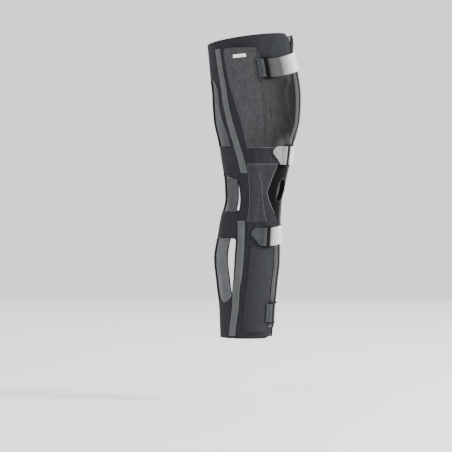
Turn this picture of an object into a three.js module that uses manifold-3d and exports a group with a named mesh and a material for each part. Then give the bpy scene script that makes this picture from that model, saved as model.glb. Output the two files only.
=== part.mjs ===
// Knee immobilizer: a padded sleeve for a straight right leg, open down the front and closed by
// four straps. Millimetres. The origin is the middle of the knee, inside the sleeve. +Z runs up
// the leg, the front faces -Y and the outer (lateral) side faces -X.
import * as THREE from 'three';
import { mergeVertices } from 'three/addons/utils/BufferGeometryUtils.js';
import Module from 'manifold-3d';

const wasm = await Module();
wasm.setup();

// Reach of the sleeve above and below the middle of the knee
const THIGH_REACH = 335;
const CALF_REACH = 318;
const TOP_RIM_DROP = 24;

// Width across the leg over the outer face of the laminate, from the top down
const TOP_WIDTH = 170;
const THIGH_WIDTH = 181;
const KNEE_WIDTH = 117;
const CALF_WIDTH = 133;
const ANKLE_WIDTH = 107;
const DEPTH_PER_WIDTH = 1.064;

// How far the middle of a section lies behind the middle of the knee
const TOP_SETBACK = 14;
const THIGH_ADVANCE = 5;
const CALF_SETBACK = 18;

// Cloth thicknesses and the gap between layers that touch
const LAMINATE = 3.5;
const VELOUR = 1.7;
const CHANNEL_WALL = 2.3;
const INSERT_CLOTH = 1.8;
const STRAP_CLOTH = 1.5;
const TAB_CLOTH = 1.2;
const LABEL_CLOTH = 0.5;
const LAYER_GAP = 0.3;
const STRAP_GAP = 0.6;

// The gap down the front, the strip down the back and the stay channels
const FRONT_GAP = 7;
const FRONT_GAP_TURN = -9;
const CORNER_RADIUS = 26;
const BACK_STRIP_WIDTH = 66;
const CHANNEL_WIDTH = 15;
const THIGH_CHANNEL_INSET = 1.5;
const CALF_CHANNEL_INSET = 4.5;
const PANEL_MARGIN = 1.5;
const SEAM_GAP = 0.4;

// The V notch at the knee and the oval opening over the kneecap
const NOTCH_TOP = 100;
const NOTCH_BOTTOM = 86;
const NOTCH_TURN = 44.5;
const INSERT_OVERLAP = 10;
const OPENING_WIDTH = 38;
const OPENING_HEIGHT = 52;
const OPENING_TURN = 2;

// Straps, rings, tabs and label
const STRAP_WIDTH = 39;
const STRAP_END_TURN = -68;
const STRAP_RETURN = 95;
const STRAP_SEWN = 14;
const RING_BAR = 3;
const RING_SLOT = 3.1;
const RING_BRIDGE = 7;
const RING_WALL = 3;
const RING_THICKNESS = 2.4;
const RING_CLEARANCE = 0.85;
const SLOT_CLEARANCE = 0.6;
const LABEL_WIDTH = 27;
const LABEL_HEIGHT = 7;
const LABEL_RISE = 2.5;
const LABEL_TURN = 81;

// Depth of the blocks that cut the layers, to each side of the laminate
const CUT_DEPTH = 30;

// Lifts of the layers over the outer face of the laminate
const PANEL_LOW = LAYER_GAP;
const PANEL_TOP = PANEL_LOW + VELOUR;
const CHANNEL_TOP = LAYER_GAP + CHANNEL_WALL;
const PANEL_SEAT = PANEL_TOP + STRAP_GAP;
const CHANNEL_SEAT = CHANNEL_TOP + STRAP_GAP;

// The form of the leg: height, width across and setback of each section
const FORM = [
  { height: -1.00 * CALF_REACH, width: 1.00 * ANKLE_WIDTH, setback: 1.05 * CALF_SETBACK },
  { height: -0.79 * CALF_REACH, width: 1.07 * ANKLE_WIDTH, setback: 0.98 * CALF_SETBACK },
  { height: -0.63 * CALF_REACH, width: 0.93 * CALF_WIDTH, setback: 1.00 * CALF_SETBACK },
  { height: -0.47 * CALF_REACH, width: 1.00 * CALF_WIDTH, setback: 1.00 * CALF_SETBACK },
  { height: -0.32 * CALF_REACH, width: 0.96 * CALF_WIDTH, setback: 0.76 * CALF_SETBACK },
  { height: -0.19 * CALF_REACH, width: 1.04 * KNEE_WIDTH, setback: 0.50 * CALF_SETBACK },
  { height: -0.09 * CALF_REACH, width: 1.00 * KNEE_WIDTH, setback: 0.10 * CALF_SETBACK },
  { height: 0.00 * THIGH_REACH, width: 1.06 * KNEE_WIDTH, setback: -0.65 * THIGH_ADVANCE },
  { height: 0.06 * THIGH_REACH, width: 1.09 * KNEE_WIDTH, setback: -0.90 * THIGH_ADVANCE },
  { height: 0.15 * THIGH_REACH, width: 0.76 * THIGH_WIDTH, setback: -0.80 * THIGH_ADVANCE },
  { height: 0.30 * THIGH_REACH, width: 0.84 * THIGH_WIDTH, setback: -0.70 * THIGH_ADVANCE },
  { height: 0.45 * THIGH_REACH, width: 0.97 * THIGH_WIDTH, setback: -1.00 * THIGH_ADVANCE },
  { height: 0.60 * THIGH_REACH, width: 1.00 * THIGH_WIDTH, setback: -0.90 * THIGH_ADVANCE },
  { height: 0.75 * THIGH_REACH, width: 0.99 * THIGH_WIDTH, setback: 0.10 * TOP_SETBACK },
  { height: 0.90 * THIGH_REACH, width: 1.01 * TOP_WIDTH, setback: 0.75 * TOP_SETBACK },
  { height: 1.00 * THIGH_REACH, width: 1.00 * TOP_WIDTH, setback: 1.00 * TOP_SETBACK },
];

// Front edge of the windows, where the side shells meet the back: height and turn
const WINDOW_LINE = [
  { height: -1.00 * CALF_REACH, turn: 98 },
  { height: -0.76 * CALF_REACH, turn: 96 },
  { height: -0.66 * CALF_REACH, turn: 93 },
  { height: -0.57 * CALF_REACH, turn: 89 },
  { height: -0.44 * CALF_REACH, turn: 86.5 },
  { height: -0.32 * CALF_REACH, turn: 88 },
  { height: -0.15 * CALF_REACH, turn: 90.5 },
  { height: -0.07 * CALF_REACH, turn: 93 },
  { height: 0.03 * THIGH_REACH, turn: 98 },
  { height: 0.18 * THIGH_REACH, turn: 102 },
  { height: 0.31 * THIGH_REACH, turn: 109 },
  { height: 0.40 * THIGH_REACH, turn: 114 },
  { height: 0.48 * THIGH_REACH, turn: 119 },
  { height: 0.63 * THIGH_REACH, turn: 124 },
  { height: 0.70 * THIGH_REACH, turn: 127 },
  { height: 1.00 * THIGH_REACH, turn: 128 },
];

// Centre line of the rear stay channels: height and turn
const THIGH_CHANNEL_LINE = [
  { height: 0.11 * THIGH_REACH, turn: 87 },
  { height: 0.18 * THIGH_REACH, turn: 90 },
  { height: 0.32 * THIGH_REACH, turn: 98 },
  { height: 0.45 * THIGH_REACH, turn: 104 },
  { height: 0.58 * THIGH_REACH, turn: 109.5 },
  { height: 0.70 * THIGH_REACH, turn: 112 },
  { height: 0.90 * THIGH_REACH, turn: 115 },
];
const CALF_CHANNEL_LINE = [
  { height: -0.985 * CALF_REACH, turn: 98 },
  { height: -0.91 * CALF_REACH, turn: 95 },
  { height: -0.78 * CALF_REACH, turn: 89 },
  { height: -0.67 * CALF_REACH, turn: 86 },
  { height: -0.57 * CALF_REACH, turn: 80.5 },
  { height: -0.43 * CALF_REACH, turn: 77.5 },
  { height: -0.28 * CALF_REACH, turn: 80 },
  { height: -0.205 * CALF_REACH, turn: 83 },
];

// Rear edge of the velour, from the ankle to the thigh: height and turn
const CALF_PANEL_REAR = [
  { height: -0.96 * CALF_REACH, turn: 72.5 },
  { height: -0.87 * CALF_REACH, turn: 72 },
  { height: -0.74 * CALF_REACH, turn: 69 },
  { height: -0.64 * CALF_REACH, turn: 65 },
  { height: -0.48 * CALF_REACH, turn: 61 },
  { height: -0.38 * CALF_REACH, turn: 59 },
];
const KNEE_PANEL_REAR = [
  { height: -0.22 * CALF_REACH, turn: 69 },
  { height: -0.10 * CALF_REACH, turn: 72.5 },
  { height: 0.00 * THIGH_REACH, turn: 76.5 },
  { height: 0.16 * THIGH_REACH, turn: 80 },
];
const THIGH_PANEL_REAR = [
  { height: 0.27 * THIGH_REACH, turn: 80 },
  { height: 0.35 * THIGH_REACH, turn: 83 },
  { height: 0.45 * THIGH_REACH, turn: 87 },
  { height: 0.57 * THIGH_REACH, turn: 94 },
  { height: 0.70 * THIGH_REACH, turn: 101 },
  { height: 0.91 * THIGH_REACH, turn: 104.5 },
];

// The notch: height as a share of its reach, depth as a share of the turn from edge to apex
const NOTCH = [
  { height: -1.00 * NOTCH_BOTTOM, depth: 0 },
  { height: -0.93 * NOTCH_BOTTOM, depth: 0.06 },
  { height: -0.74 * NOTCH_BOTTOM, depth: 0.25 },
  { height: -0.57 * NOTCH_BOTTOM, depth: 0.43 },
  { height: -0.40 * NOTCH_BOTTOM, depth: 0.64 },
  { height: -0.24 * NOTCH_BOTTOM, depth: 0.83 },
  { height: -0.05 * NOTCH_BOTTOM, depth: 1 },
  { height: 0.26 * NOTCH_TOP, depth: 0.84 },
  { height: 0.58 * NOTCH_TOP, depth: 0.63 },
  { height: 0.75 * NOTCH_TOP, depth: 0.50 },
  { height: 0.88 * NOTCH_TOP, depth: 0.30 },
  { height: 1.00 * NOTCH_TOP, depth: 0 },
];

// Windows: height at the front and rear of the top edge, height of the bottom edge, and radii
const WINDOWS = [
  {
    topFront: 0.71 * THIGH_REACH,
    topRear: 0.71 * THIGH_REACH,
    bottom: 0.275 * THIGH_REACH,
    topRadius: 22,
    bottomRadius: 3,
  },
  {
    topFront: 0.075 * THIGH_REACH,
    topRear: 0.115 * THIGH_REACH,
    bottom: -0.15 * CALF_REACH,
    topRadius: 3,
    bottomRadius: 8,
  },
  {
    topFront: -0.32 * CALF_REACH,
    topRear: -0.32 * CALF_REACH,
    bottom: -0.765 * CALF_REACH,
    topRadius: 8,
    bottomRadius: 25,
  },
];

// Straps: height at the ring, rise towards the front, turn of the ring, length and tip of the tab
const STRAPS = [
  {
    name: 'thigh',
    height: 0.775 * THIGH_REACH,
    rise: 0.44 * STRAP_WIDTH,
    ringTurn: 48.5,
    seat: PANEL_SEAT,
    tabLength: 0.26 * STRAP_WIDTH,
    tipLength: 0,
  },
  {
    name: 'above_knee',
    height: 0.222 * THIGH_REACH,
    rise: 0.15 * STRAP_WIDTH,
    ringTurn: 9,
    seat: PANEL_SEAT,
    tabLength: 0.77 * STRAP_WIDTH,
    tipLength: 0.41 * STRAP_WIDTH,
  },
  {
    name: 'below_knee',
    height: -0.313 * CALF_REACH,
    rise: 0.18 * STRAP_WIDTH,
    ringTurn: 30,
    seat: PANEL_SEAT,
    tabLength: 0.72 * STRAP_WIDTH,
    tipLength: 0.41 * STRAP_WIDTH,
  },
  {
    name: 'ankle',
    height: -0.83 * CALF_REACH,
    rise: 0.08 * STRAP_WIDTH,
    ringTurn: 7,
    seat: CHANNEL_SEAT,
    tabLength: 0.26 * STRAP_WIDTH,
    tipLength: 0,
  },
];

// Materials: colour, roughness and metalness of each finish
const FINISHES = {
  laminate: { color: 0x303137, roughness: 0.92, metalness: 0 },
  velour: { color: 0x4e4f54, roughness: 0.95, metalness: 0 },
  loop: { color: 0x2c2d31, roughness: 0.97, metalness: 0 },
  webbing: { color: 0x66686a, roughness: 0.9, metalness: 0 },
  strap: { color: 0xb4b4b3, roughness: 0.9, metalness: 0 },
  tab: { color: 0x6a6b6d, roughness: 0.9, metalness: 0 },
  stretch: { color: 0x232429, roughness: 0.9, metalness: 0 },
  plastic: { color: 0x0d0d0e, roughness: 0.45, metalness: 0 },
  label: { color: 0xd8d8d6, roughness: 0.85, metalness: 0 },
};

const lerp = THREE.MathUtils.lerp;
const clamp = THREE.MathUtils.clamp;
const RADIAN = Math.PI / 180;

// A smooth curve through the rows of a table, with no overshoot between them
function curve(rows, column) {
  const x = rows.map((row) => row.height);
  const y = rows.map((row) => row[column]);
  const last = x.length - 1;
  const slope = [];
  for (let i = 0; i < last; i += 1) {
    slope.push((y[i + 1] - y[i]) / (x[i + 1] - x[i]));
  }
  const tangent = x.map((_, i) => {
    if (i === 0) {
      return slope[0];
    }
    if (i === last) {
      return slope[last - 1];
    }
    const before = slope[i - 1];
    const after = slope[i];
    return before * after <= 0 ? 0 : (2 * before * after) / (before + after);
  });
  return (height) => {
    const at = clamp(height, x[0], x[last]);
    let i = 0;
    while (i < last - 1 && at > x[i + 1]) {
      i += 1;
    }
    const span = x[i + 1] - x[i];
    const s = (at - x[i]) / span;
    const rest = 1 - s;
    return (
      y[i] * rest * rest * (1 + 2 * s) +
      tangent[i] * span * s * rest * rest +
      y[i + 1] * s * s * (3 - 2 * s) -
      tangent[i + 1] * span * s * s * rest
    );
  };
}

// A curve that keeps its corners: straight between the rows
function polyline(rows, column) {
  return (height) => {
    const last = rows.length - 1;
    if (height <= rows[0].height) {
      return rows[0][column];
    }
    if (height >= rows[last].height) {
      return rows[last][column];
    }
    const i = rows.findIndex((row) => row.height > height) - 1;
    const share = (height - rows[i].height) / (rows[i + 1].height - rows[i].height);
    return lerp(rows[i][column], rows[i + 1][column], share);
  };
}

const widthAt = curve(FORM, 'width');
const setbackAt = curve(FORM, 'setback');
const windowLine = curve(WINDOW_LINE, 'turn');
const notchDepth = polyline(NOTCH, 'depth');

// Turn is the angle round the leg in degrees: 0 front, 90 outer side, 180 back, -90 inner side
function onLeg(turn, height, lift) {
  const halfWidth = widthAt(height) / 2 + lift;
  const halfDepth = (widthAt(height) / 2) * DEPTH_PER_WIDTH + lift;
  const angle = turn * RADIAN;
  return new THREE.Vector3(
    -halfWidth * Math.sin(angle),
    setbackAt(height) - halfDepth * Math.cos(angle),
    height,
  );
}

// Millimetres of cloth for one degree of turn at a height, and the other way round
function arcPerDegree(height) {
  return (widthAt(height) / 4) * (1 + DEPTH_PER_WIDTH) * RADIAN;
}

function degrees(length, height) {
  return length / arcPerDegree(height);
}

// Height of the top rim, which rises towards the front
function topRim(turn) {
  return THIGH_REACH - (TOP_RIM_DROP * (1 - Math.cos(turn * RADIAN))) / 2;
}

// How far an edge falls away towards a round corner, at a distance from the corner's side
function cornerDrop(distance, radius) {
  const inside = clamp(radius - distance, 0, radius);
  return radius - Math.sqrt(radius * radius - inside * inside);
}

// Front edge of a side shell: the front gap, and the V notch at the knee
function frontEdge(side, height) {
  const gapEdge = FRONT_GAP_TURN + side * degrees(FRONT_GAP / 2, height);
  return lerp(gapEdge, side * NOTCH_TURN, notchDepth(height));
}

// A closed body from two lists of triangles over one list of points, turned the right way out
function closedBody(points, triangles) {
  let volume = 0;
  for (const [a, b, c] of triangles) {
    volume += points[a].dot(points[b].clone().cross(points[c]));
  }
  const ordered = volume > 0 ? triangles : triangles.map(([a, b, c]) => [a, c, b]);
  const geometry = new THREE.BufferGeometry();
  geometry.setAttribute(
    'position',
    new THREE.Float32BufferAttribute(points.flatMap((point) => point.toArray()), 3),
  );
  geometry.setIndex(ordered.flat());
  return geometry;
}

// A block of space round the leg: a grid of columns and rows between an inner and an outer lift
function block({ columns, rows, place, low = -CUT_DEPTH, high = CUT_DEPTH }) {
  const points = [];
  const triangles = [];
  for (const lift of [low, high]) {
    for (const v of rows) {
      for (const u of columns) {
        const { turn, height } = place(u, v);
        points.push(onLeg(turn, height, lift));
      }
    }
  }
  const across = columns.length;
  const layer = across * rows.length;
  const quad = (a, b, c, d) => triangles.push([a, b, c], [a, c, d]);
  for (let j = 0; j < rows.length - 1; j += 1) {
    for (let i = 0; i < across - 1; i += 1) {
      const k = j * across + i;
      quad(k, k + 1, k + across + 1, k + across);
      quad(layer + k, layer + k + across, layer + k + across + 1, layer + k + 1);
    }
    const left = j * across;
    const right = left + across - 1;
    quad(left, left + across, layer + left + across, layer + left);
    quad(right, layer + right, layer + right + across, right + across);
  }
  const top = layer - across;
  for (let i = 0; i < across - 1; i += 1) {
    quad(i, layer + i, layer + i + 1, i + 1);
    quad(top + i, top + i + 1, layer + top + i + 1, layer + top + i);
  }
  return closedBody(points, triangles);
}

// A tube of cloth right round the leg, from which every layer of the sleeve is cut. All the
// tubes share their columns and rows, so that layers stay parallel and keep their gap.
const TUBE_COLUMNS = 30;
const TUBE_MARGIN = 8;
function tube(low, high) {
  const sections = FORM.slice(1, -1).map((row) => row.height);
  const heights = [-CALF_REACH - TUBE_MARGIN, ...sections, THIGH_REACH + TUBE_MARGIN];
  const tubeRows = heights.length - 1;
  const points = [];
  for (const lift of [low, high]) {
    for (const height of heights) {
      for (let i = 0; i < TUBE_COLUMNS; i += 1) {
        points.push(onLeg((360 * i) / TUBE_COLUMNS, height, lift));
      }
    }
  }
  const wall = TUBE_COLUMNS * heights.length;
  const triangles = [];
  const quad = (a, b, c, d) => triangles.push([a, b, c], [a, c, d]);
  for (let i = 0; i < TUBE_COLUMNS; i += 1) {
    const next = (i + 1) % TUBE_COLUMNS;
    for (let j = 0; j < tubeRows; j += 1) {
      const row = j * TUBE_COLUMNS;
      const up = row + TUBE_COLUMNS;
      quad(row + i, row + next, up + next, up + i);
      quad(wall + row + i, wall + up + i, wall + up + next, wall + row + next);
    }
    const top = tubeRows * TUBE_COLUMNS;
    quad(i, wall + i, wall + next, next);
    quad(top + i, top + next, wall + top + next, wall + top + i);
  }
  return closedBody(points, triangles);
}

// Triangles of a flat face swept through layers of points: both ends and the walls between
function swept(faces, count, layers) {
  const edges = faces.flatMap(([a, b, c]) => [[a, b], [b, c], [c, a]]);
  const known = new Set(edges.map(([a, b]) => `${a}-${b}`));
  const border = edges.filter(([a, b]) => !known.has(`${b}-${a}`));
  const last = (layers - 1) * count;
  const triangles = faces.map(([a, b, c]) => [a, b, c]);
  triangles.push(...faces.map(([a, b, c]) => [last + a, last + c, last + b]));
  for (let start = 0; start < last; start += count) {
    for (const [a, b] of border) {
      const p = start + a;
      const q = start + b;
      triangles.push([q, p, p + count], [q, p + count, q + count]);
    }
  }
  return triangles;
}

// A plate on the leg: an outline of turns and heights, with holes, between two lifts
function plate(outline, holes, low, high) {
  const flat = (list) =>
    list.map(({ turn, height }) => new THREE.Vector2(turn * arcPerDegree(height), height));
  const faces = THREE.ShapeUtils.triangulateShape(flat(outline), holes.map(flat));
  const all = [outline, ...holes].flat();
  const points = [low, high].flatMap((lift) =>
    all.map(({ turn, height }) => onLeg(turn, height, lift)),
  );
  return closedBody(points, swept(faces, all.length, 2));
}

// A band round the leg: a strip of cross-section, two points to a step, swept over its width
function band(strip, heightAt, width, steps) {
  const faces = [];
  for (let i = 0; i < strip.length - 2; i += 2) {
    faces.push([i, i + 2, i + 3], [i, i + 3, i + 1]);
  }
  const points = [];
  for (let j = 0; j <= steps; j += 1) {
    for (const { arc, lift } of strip) {
      const middle = heightAt(arc);
      const turn = arc / arcPerDegree(middle);
      points.push(onLeg(turn, middle + width * (j / steps - 0.5), lift));
    }
  }
  return closedBody(points, swept(faces, strip.length, steps + 1));
}

// Boolean cuts: a geometry becomes a solid and comes back as a geometry
function toSolid(geometry) {
  const plain = geometry.clone();
  plain.deleteAttribute('normal');
  plain.deleteAttribute('uv');
  const merged = mergeVertices(plain, 1e-4);
  return new wasm.Manifold(
    new wasm.Mesh({
      numProp: 3,
      vertProperties: new Float32Array(merged.attributes.position.array),
      triVerts: new Uint32Array(merged.index.array),
    }),
  );
}

function toGeometry(solid) {
  const mesh = solid.getMesh();
  const geometry = new THREE.BufferGeometry();
  geometry.setAttribute('position', new THREE.Float32BufferAttribute(mesh.vertProperties, 3));
  geometry.setIndex(Array.from(mesh.triVerts));
  return geometry;
}

function cut(geometry, cutters) {
  let solid = toSolid(geometry);
  for (const cutter of cutters) {
    solid = solid.subtract(toSolid(cutter));
  }
  return toGeometry(solid);
}

function common(geometry, other) {
  return toGeometry(toSolid(geometry).intersect(toSolid(other)));
}

// The three layers of the sleeve
const laminate = tube(-LAMINATE, 0);
const velour = tube(PANEL_LOW, PANEL_TOP);
const webbing = tube(LAYER_GAP, CHANNEL_TOP);

const steps = (count) => Array.from({ length: count + 1 }, (_, i) => i / count);
const root = new THREE.Group();

function addPiece(name, geometry, finish) {
  const flatShaded = geometry.toNonIndexed();
  flatShaded.computeVertexNormals();
  const mesh = new THREE.Mesh(flatShaded, new THREE.MeshStandardMaterial(FINISHES[finish]));
  mesh.name = name;
  root.add(mesh);
}

// Rows of the shells: even steps, and one at each corner of the notch
const ROW_STEP = 34;
function rowHeights(bottom, top) {
  const corners = NOTCH.map((row) => row.height);
  const count = Math.round((THIGH_REACH + CALF_REACH) / ROW_STEP);
  const even = steps(count)
    .map((share) => lerp(-CALF_REACH, THIGH_REACH, share))
    .filter((height) => height > NOTCH_TOP + ROW_STEP / 2 || height < -NOTCH_BOTTOM - ROW_STEP / 2);
  const inside = [...even, ...corners].filter((height) => height > bottom + 1 && height < top - 1);
  return [bottom, ...inside, top].sort((a, b) => a - b);
}

// Rim zones: only these last shares of the reach bend to the rims and their round corners
const RIM_ZONE = 0.75;
function rimmed(height, turn, fromFront) {
  const drop = cornerDrop(fromFront, CORNER_RADIUS);
  if (height > 0) {
    const share = clamp((height / THIGH_REACH - RIM_ZONE) / (1 - RIM_ZONE), 0, 1);
    return height + share * (topRim(turn) - drop - THIGH_REACH);
  }
  const share = clamp((-height / CALF_REACH - RIM_ZONE) / (1 - RIM_ZONE), 0, 1);
  return height + share * drop;
}

// Sections of the laminate, sewn edge to edge level with the two loop bands
const UPPER_SEAM = 0.75 * NOTCH_TOP;
const LOWER_SEAM = -1.1 * NOTCH_BOTTOM;
const SECTIONS = [
  { name: 'thigh', bottom: UPPER_SEAM, top: THIGH_REACH },
  { name: 'knee', bottom: LOWER_SEAM, top: UPPER_SEAM },
  { name: 'calf', bottom: -CALF_REACH, top: LOWER_SEAM },
];

function sectionRows({ bottom, top }) {
  const low = bottom > -CALF_REACH ? bottom + SEAM_GAP / 2 : bottom;
  const high = top < THIGH_REACH ? top - SEAM_GAP / 2 : top;
  return rowHeights(low, high);
}

// Columns of the side shells, closer together at the round front corner
const SHELL_COLUMNS = [...steps(10).slice(0, 8), 0.78, 0.86, 0.93, 0.97, 0.99, 1];

function sideShell(side, section) {
  const shape = block({
    columns: SHELL_COLUMNS,
    rows: sectionRows(section),
    place: (u, height) => {
      const rear = side * (windowLine(height) - degrees(SEAM_GAP, height));
      const front = frontEdge(side, height);
      const turn = lerp(rear, front, u);
      const fromFront = Math.abs(turn - front) * arcPerDegree(height);
      return { turn, height: rimmed(height, turn, fromFront) };
    },
  });
  return common(laminate, shape);
}

// Outline of a window on one side, rounded at its corners
const WINDOW_STEPS = [0, 0.012, 0.045, 0.1, 0.2, 0.4, 0.65, 0.83, 0.92, 0.98, 1];
const CUT_OVERLAP = 3;
function windowOutline(side, { topFront, topRear, bottom, topRadius, bottomRadius }) {
  const edge = (share, top, line) => {
    const height = lerp(bottom, top, share);
    const fromTop = top - height;
    const fromBottom = height - bottom;
    const inset = cornerDrop(fromTop, topRadius) + cornerDrop(fromBottom, bottomRadius);
    return { turn: side * line(height, degrees(inset, height)), height };
  };
  const frontLine = (height, inset) => windowLine(height) - degrees(CUT_OVERLAP, height) + inset;
  const rearLine = (height, inset) => 180 - degrees(BACK_STRIP_WIDTH / 2, height) - inset;
  const front = WINDOW_STEPS.map((share) => edge(share, topFront, frontLine));
  const rear = WINDOW_STEPS.map((share) => edge(share, topRear, rearLine)).reverse();
  return [...front, ...rear];
}

function posteriorPanel(section) {
  const shape = block({
    columns: steps(12),
    rows: sectionRows(section),
    place: (u, height) => {
      const line = windowLine(height);
      const turn = lerp(line, 360 - line, u);
      return { turn, height: rimmed(height, turn, CORNER_RADIUS) };
    },
  });
  const cutters = [1, -1].flatMap((side) =>
    WINDOWS.map((window) => plate(windowOutline(side, window), [], -CUT_DEPTH, CUT_DEPTH)),
  );
  return cut(common(laminate, shape), cutters);
}

// The stretch insert lies inside the shells and reaches past the notches
function patellaInsert() {
  const high = -LAMINATE - LAYER_GAP;
  const low = high - INSERT_CLOTH;
  const top = 0.94 * NOTCH_TOP;
  const bottom = -1.06 * NOTCH_BOTTOM;
  const reach = (height) => NOTCH_TURN + degrees(INSERT_OVERLAP, height);
  const shape = block({
    columns: steps(8),
    rows: steps(8),
    place: (u, v) => {
      const height = lerp(bottom, top, v);
      return { turn: lerp(reach(height), -reach(height), u), height };
    },
  });
  const cloth = common(tube(low, high), shape);
  const oval = steps(20).slice(0, -1).map((share) => {
    const angle = share * 2 * Math.PI;
    const height = (OPENING_HEIGHT / 2) * Math.sin(angle);
    const turn = OPENING_TURN + degrees((OPENING_WIDTH / 2) * Math.cos(angle), height);
    return { turn, height };
  });
  return cut(cloth, [plate(oval, [], -CUT_DEPTH, CUT_DEPTH)]);
}

// A panel between two lines, with round corners where a radius is given
function panel({ side, bottom, top, rear, front, columns, radius = {} }) {
  const { topRear = 0, topFront = 0, bottomRear = 0, bottomFront = 0 } = radius;
  const shape = block({
    columns,
    rows: rowHeights(bottom, top),
    place: (u, nominal) => {
      const rearTurn = rear(nominal);
      const frontTurn = front(nominal);
      const turn = lerp(rearTurn, frontTurn, u);
      const fromRear = Math.abs(turn - rearTurn) * arcPerDegree(nominal);
      const fromFront = Math.abs(turn - frontTurn) * arcPerDegree(nominal);
      const dropTop = cornerDrop(fromRear, topRear) + cornerDrop(fromFront, topFront);
      const dropBottom = cornerDrop(fromRear, bottomRear) + cornerDrop(fromFront, bottomFront);
      const share = (nominal - bottom) / (top - bottom);
      return { turn: side * turn, height: lerp(bottom + dropBottom, top - dropTop, share) };
    },
  });
  return common(velour, shape);
}

// Front limits on the outer or inner side, counted as positive turns towards that side
const edgeOn = (side, height) => side * frontEdge(side, height);
const besideEdge = (side) => (height) => edgeOn(side, height) + degrees(PANEL_MARGIN, height);
const besideChannel = (side, inset) => (height) =>
  edgeOn(side, height) + degrees(inset + CHANNEL_WIDTH + 2 * PANEL_MARGIN, height);
const channelMiddle = (side, inset) => (height) =>
  edgeOn(side, height) + degrees(inset + CHANNEL_WIDTH / 2, height);

// Heights of the panels' seams
const POCKET_TOP = 0.905 * THIGH_REACH;
const FRONT_VELOUR_TOP = 0.775 * THIGH_REACH;
const THIGH_PANEL_BOTTOM = 0.272 * THIGH_REACH;
const KNEE_PANEL_TOP = 0.168 * THIGH_REACH;
const KNEE_PANEL_BOTTOM = -0.215 * CALF_REACH;
const CALF_PANEL_TOP = -0.375 * CALF_REACH;
const CALF_PANEL_BOTTOM = -0.96 * CALF_REACH;
const LOWER_BAND_TURN = 70;
const PIPING_GAP = 0.5;

// The thigh velour: full height over the stay pocket, lower in front of it, under the strap
const POCKET_RADIUS = 12;
const POCKET_COLUMNS = [0, 0.02, 0.06, 0.14, 0.24, 0.34, 0.42, 0.47, 0.5];
const FLAP_COLUMNS = [0.51, 0.62, 0.75, 0.88, 1];
function thighPanel(side) {
  const rear = curve(THIGH_PANEL_REAR, 'turn');
  const front = besideChannel(side, THIGH_CHANNEL_INSET);
  const pocketEdge = POCKET_COLUMNS.at(-1);
  const shape = block({
    columns: [...POCKET_COLUMNS, ...FLAP_COLUMNS],
    rows: steps(10),
    place: (u, v) => {
      const nominal = lerp(THIGH_PANEL_BOTTOM, POCKET_TOP, v);
      const width = (rear(nominal) - front(nominal)) * arcPerDegree(nominal);
      const corners =
        cornerDrop(u * width, POCKET_RADIUS) + cornerDrop((pocketEdge - u) * width, POCKET_RADIUS);
      const drop = u > pocketEdge ? POCKET_TOP - FRONT_VELOUR_TOP : corners;
      const turn = lerp(rear(nominal), front(nominal), u);
      return { turn: side * turn, height: lerp(THIGH_PANEL_BOTTOM, POCKET_TOP - drop, v) };
    },
  });
  return common(velour, shape);
}

// A stay channel: a strip of webbing along a line
function channel({ side, bottom, top, line, rows }) {
  const shape = block({
    columns: [0, 1],
    rows: steps(rows),
    place: (u, v) => {
      const height = lerp(bottom, top, v);
      const half = degrees(CHANNEL_WIDTH / 2, height);
      return { turn: side * (line(height) + half * (1 - 2 * u)), height };
    },
  });
  return common(webbing, shape);
}

// Ribbon along a path of arcs and lifts: a point on each of its two faces at every step
function ribbon(path, thickness) {
  return path.flatMap((point, i) => {
    const before = path[Math.max(0, i - 1)];
    const after = path[Math.min(path.length - 1, i + 1)];
    const along = new THREE.Vector2(after.arc - before.arc, after.lift - before.lift).normalize();
    return [1, -1].map((sign) => ({
      arc: point.arc - (sign * along.y * thickness) / 2,
      lift: point.lift + (sign * along.x * thickness) / 2,
    }));
  });
}

// The hairpin of cloth round a bar: a rounded square turn from the lower to the upper layer
const HAIRPIN_SQUARENESS = 0.42;
function hairpin(barArc, seat, cloth, direction) {
  const low = seat + cloth / 2;
  const high = seat + cloth + 2 * RING_CLEARANCE + RING_THICKNESS + cloth / 2;
  const radius = (high - low) / 2;
  const stretch = (RING_BAR / 2 + RING_CLEARANCE + cloth / 2) / radius;
  const squared = (value) => Math.sign(value) * Math.abs(value) ** HAIRPIN_SQUARENESS;
  return steps(6).map((share) => {
    const angle = -Math.PI / 2 + share * Math.PI;
    return {
      arc: barArc + direction * squared(Math.max(0, Math.cos(angle))) * radius * stretch,
      lift: (low + high) / 2 + squared(Math.sin(angle)) * radius,
    };
  });
}

const RING_HALF_PITCH = RING_BRIDGE / 2 + RING_SLOT + RING_BAR / 2;
const RING_WIDTH = RING_BRIDGE + 2 * (RING_SLOT + RING_BAR);
const smooth = (share) => {
  const s = clamp(share, 0, 1);
  return s * s * (3 - 2 * s);
};

// Heights along a strap: level on the outer side, rising towards the front
const RISE_TURNS = 70;
function strapHeight(strap) {
  const perDegree = arcPerDegree(strap.height);
  return (arc) => strap.height + strap.rise * smooth((strap.ringTurn - arc / perDegree) / RISE_TURNS);
}

const RUN_STEP = 13;
const BEND_STEP = 5;
function run(fromArc, toArc, liftAt, step = RUN_STEP) {
  const count = Math.max(1, Math.round(Math.abs(toArc - fromArc) / step));
  return steps(count).map((share) => {
    const arc = lerp(fromArc, toArc, share);
    return { arc, lift: liftAt(arc) };
  });
}

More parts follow.
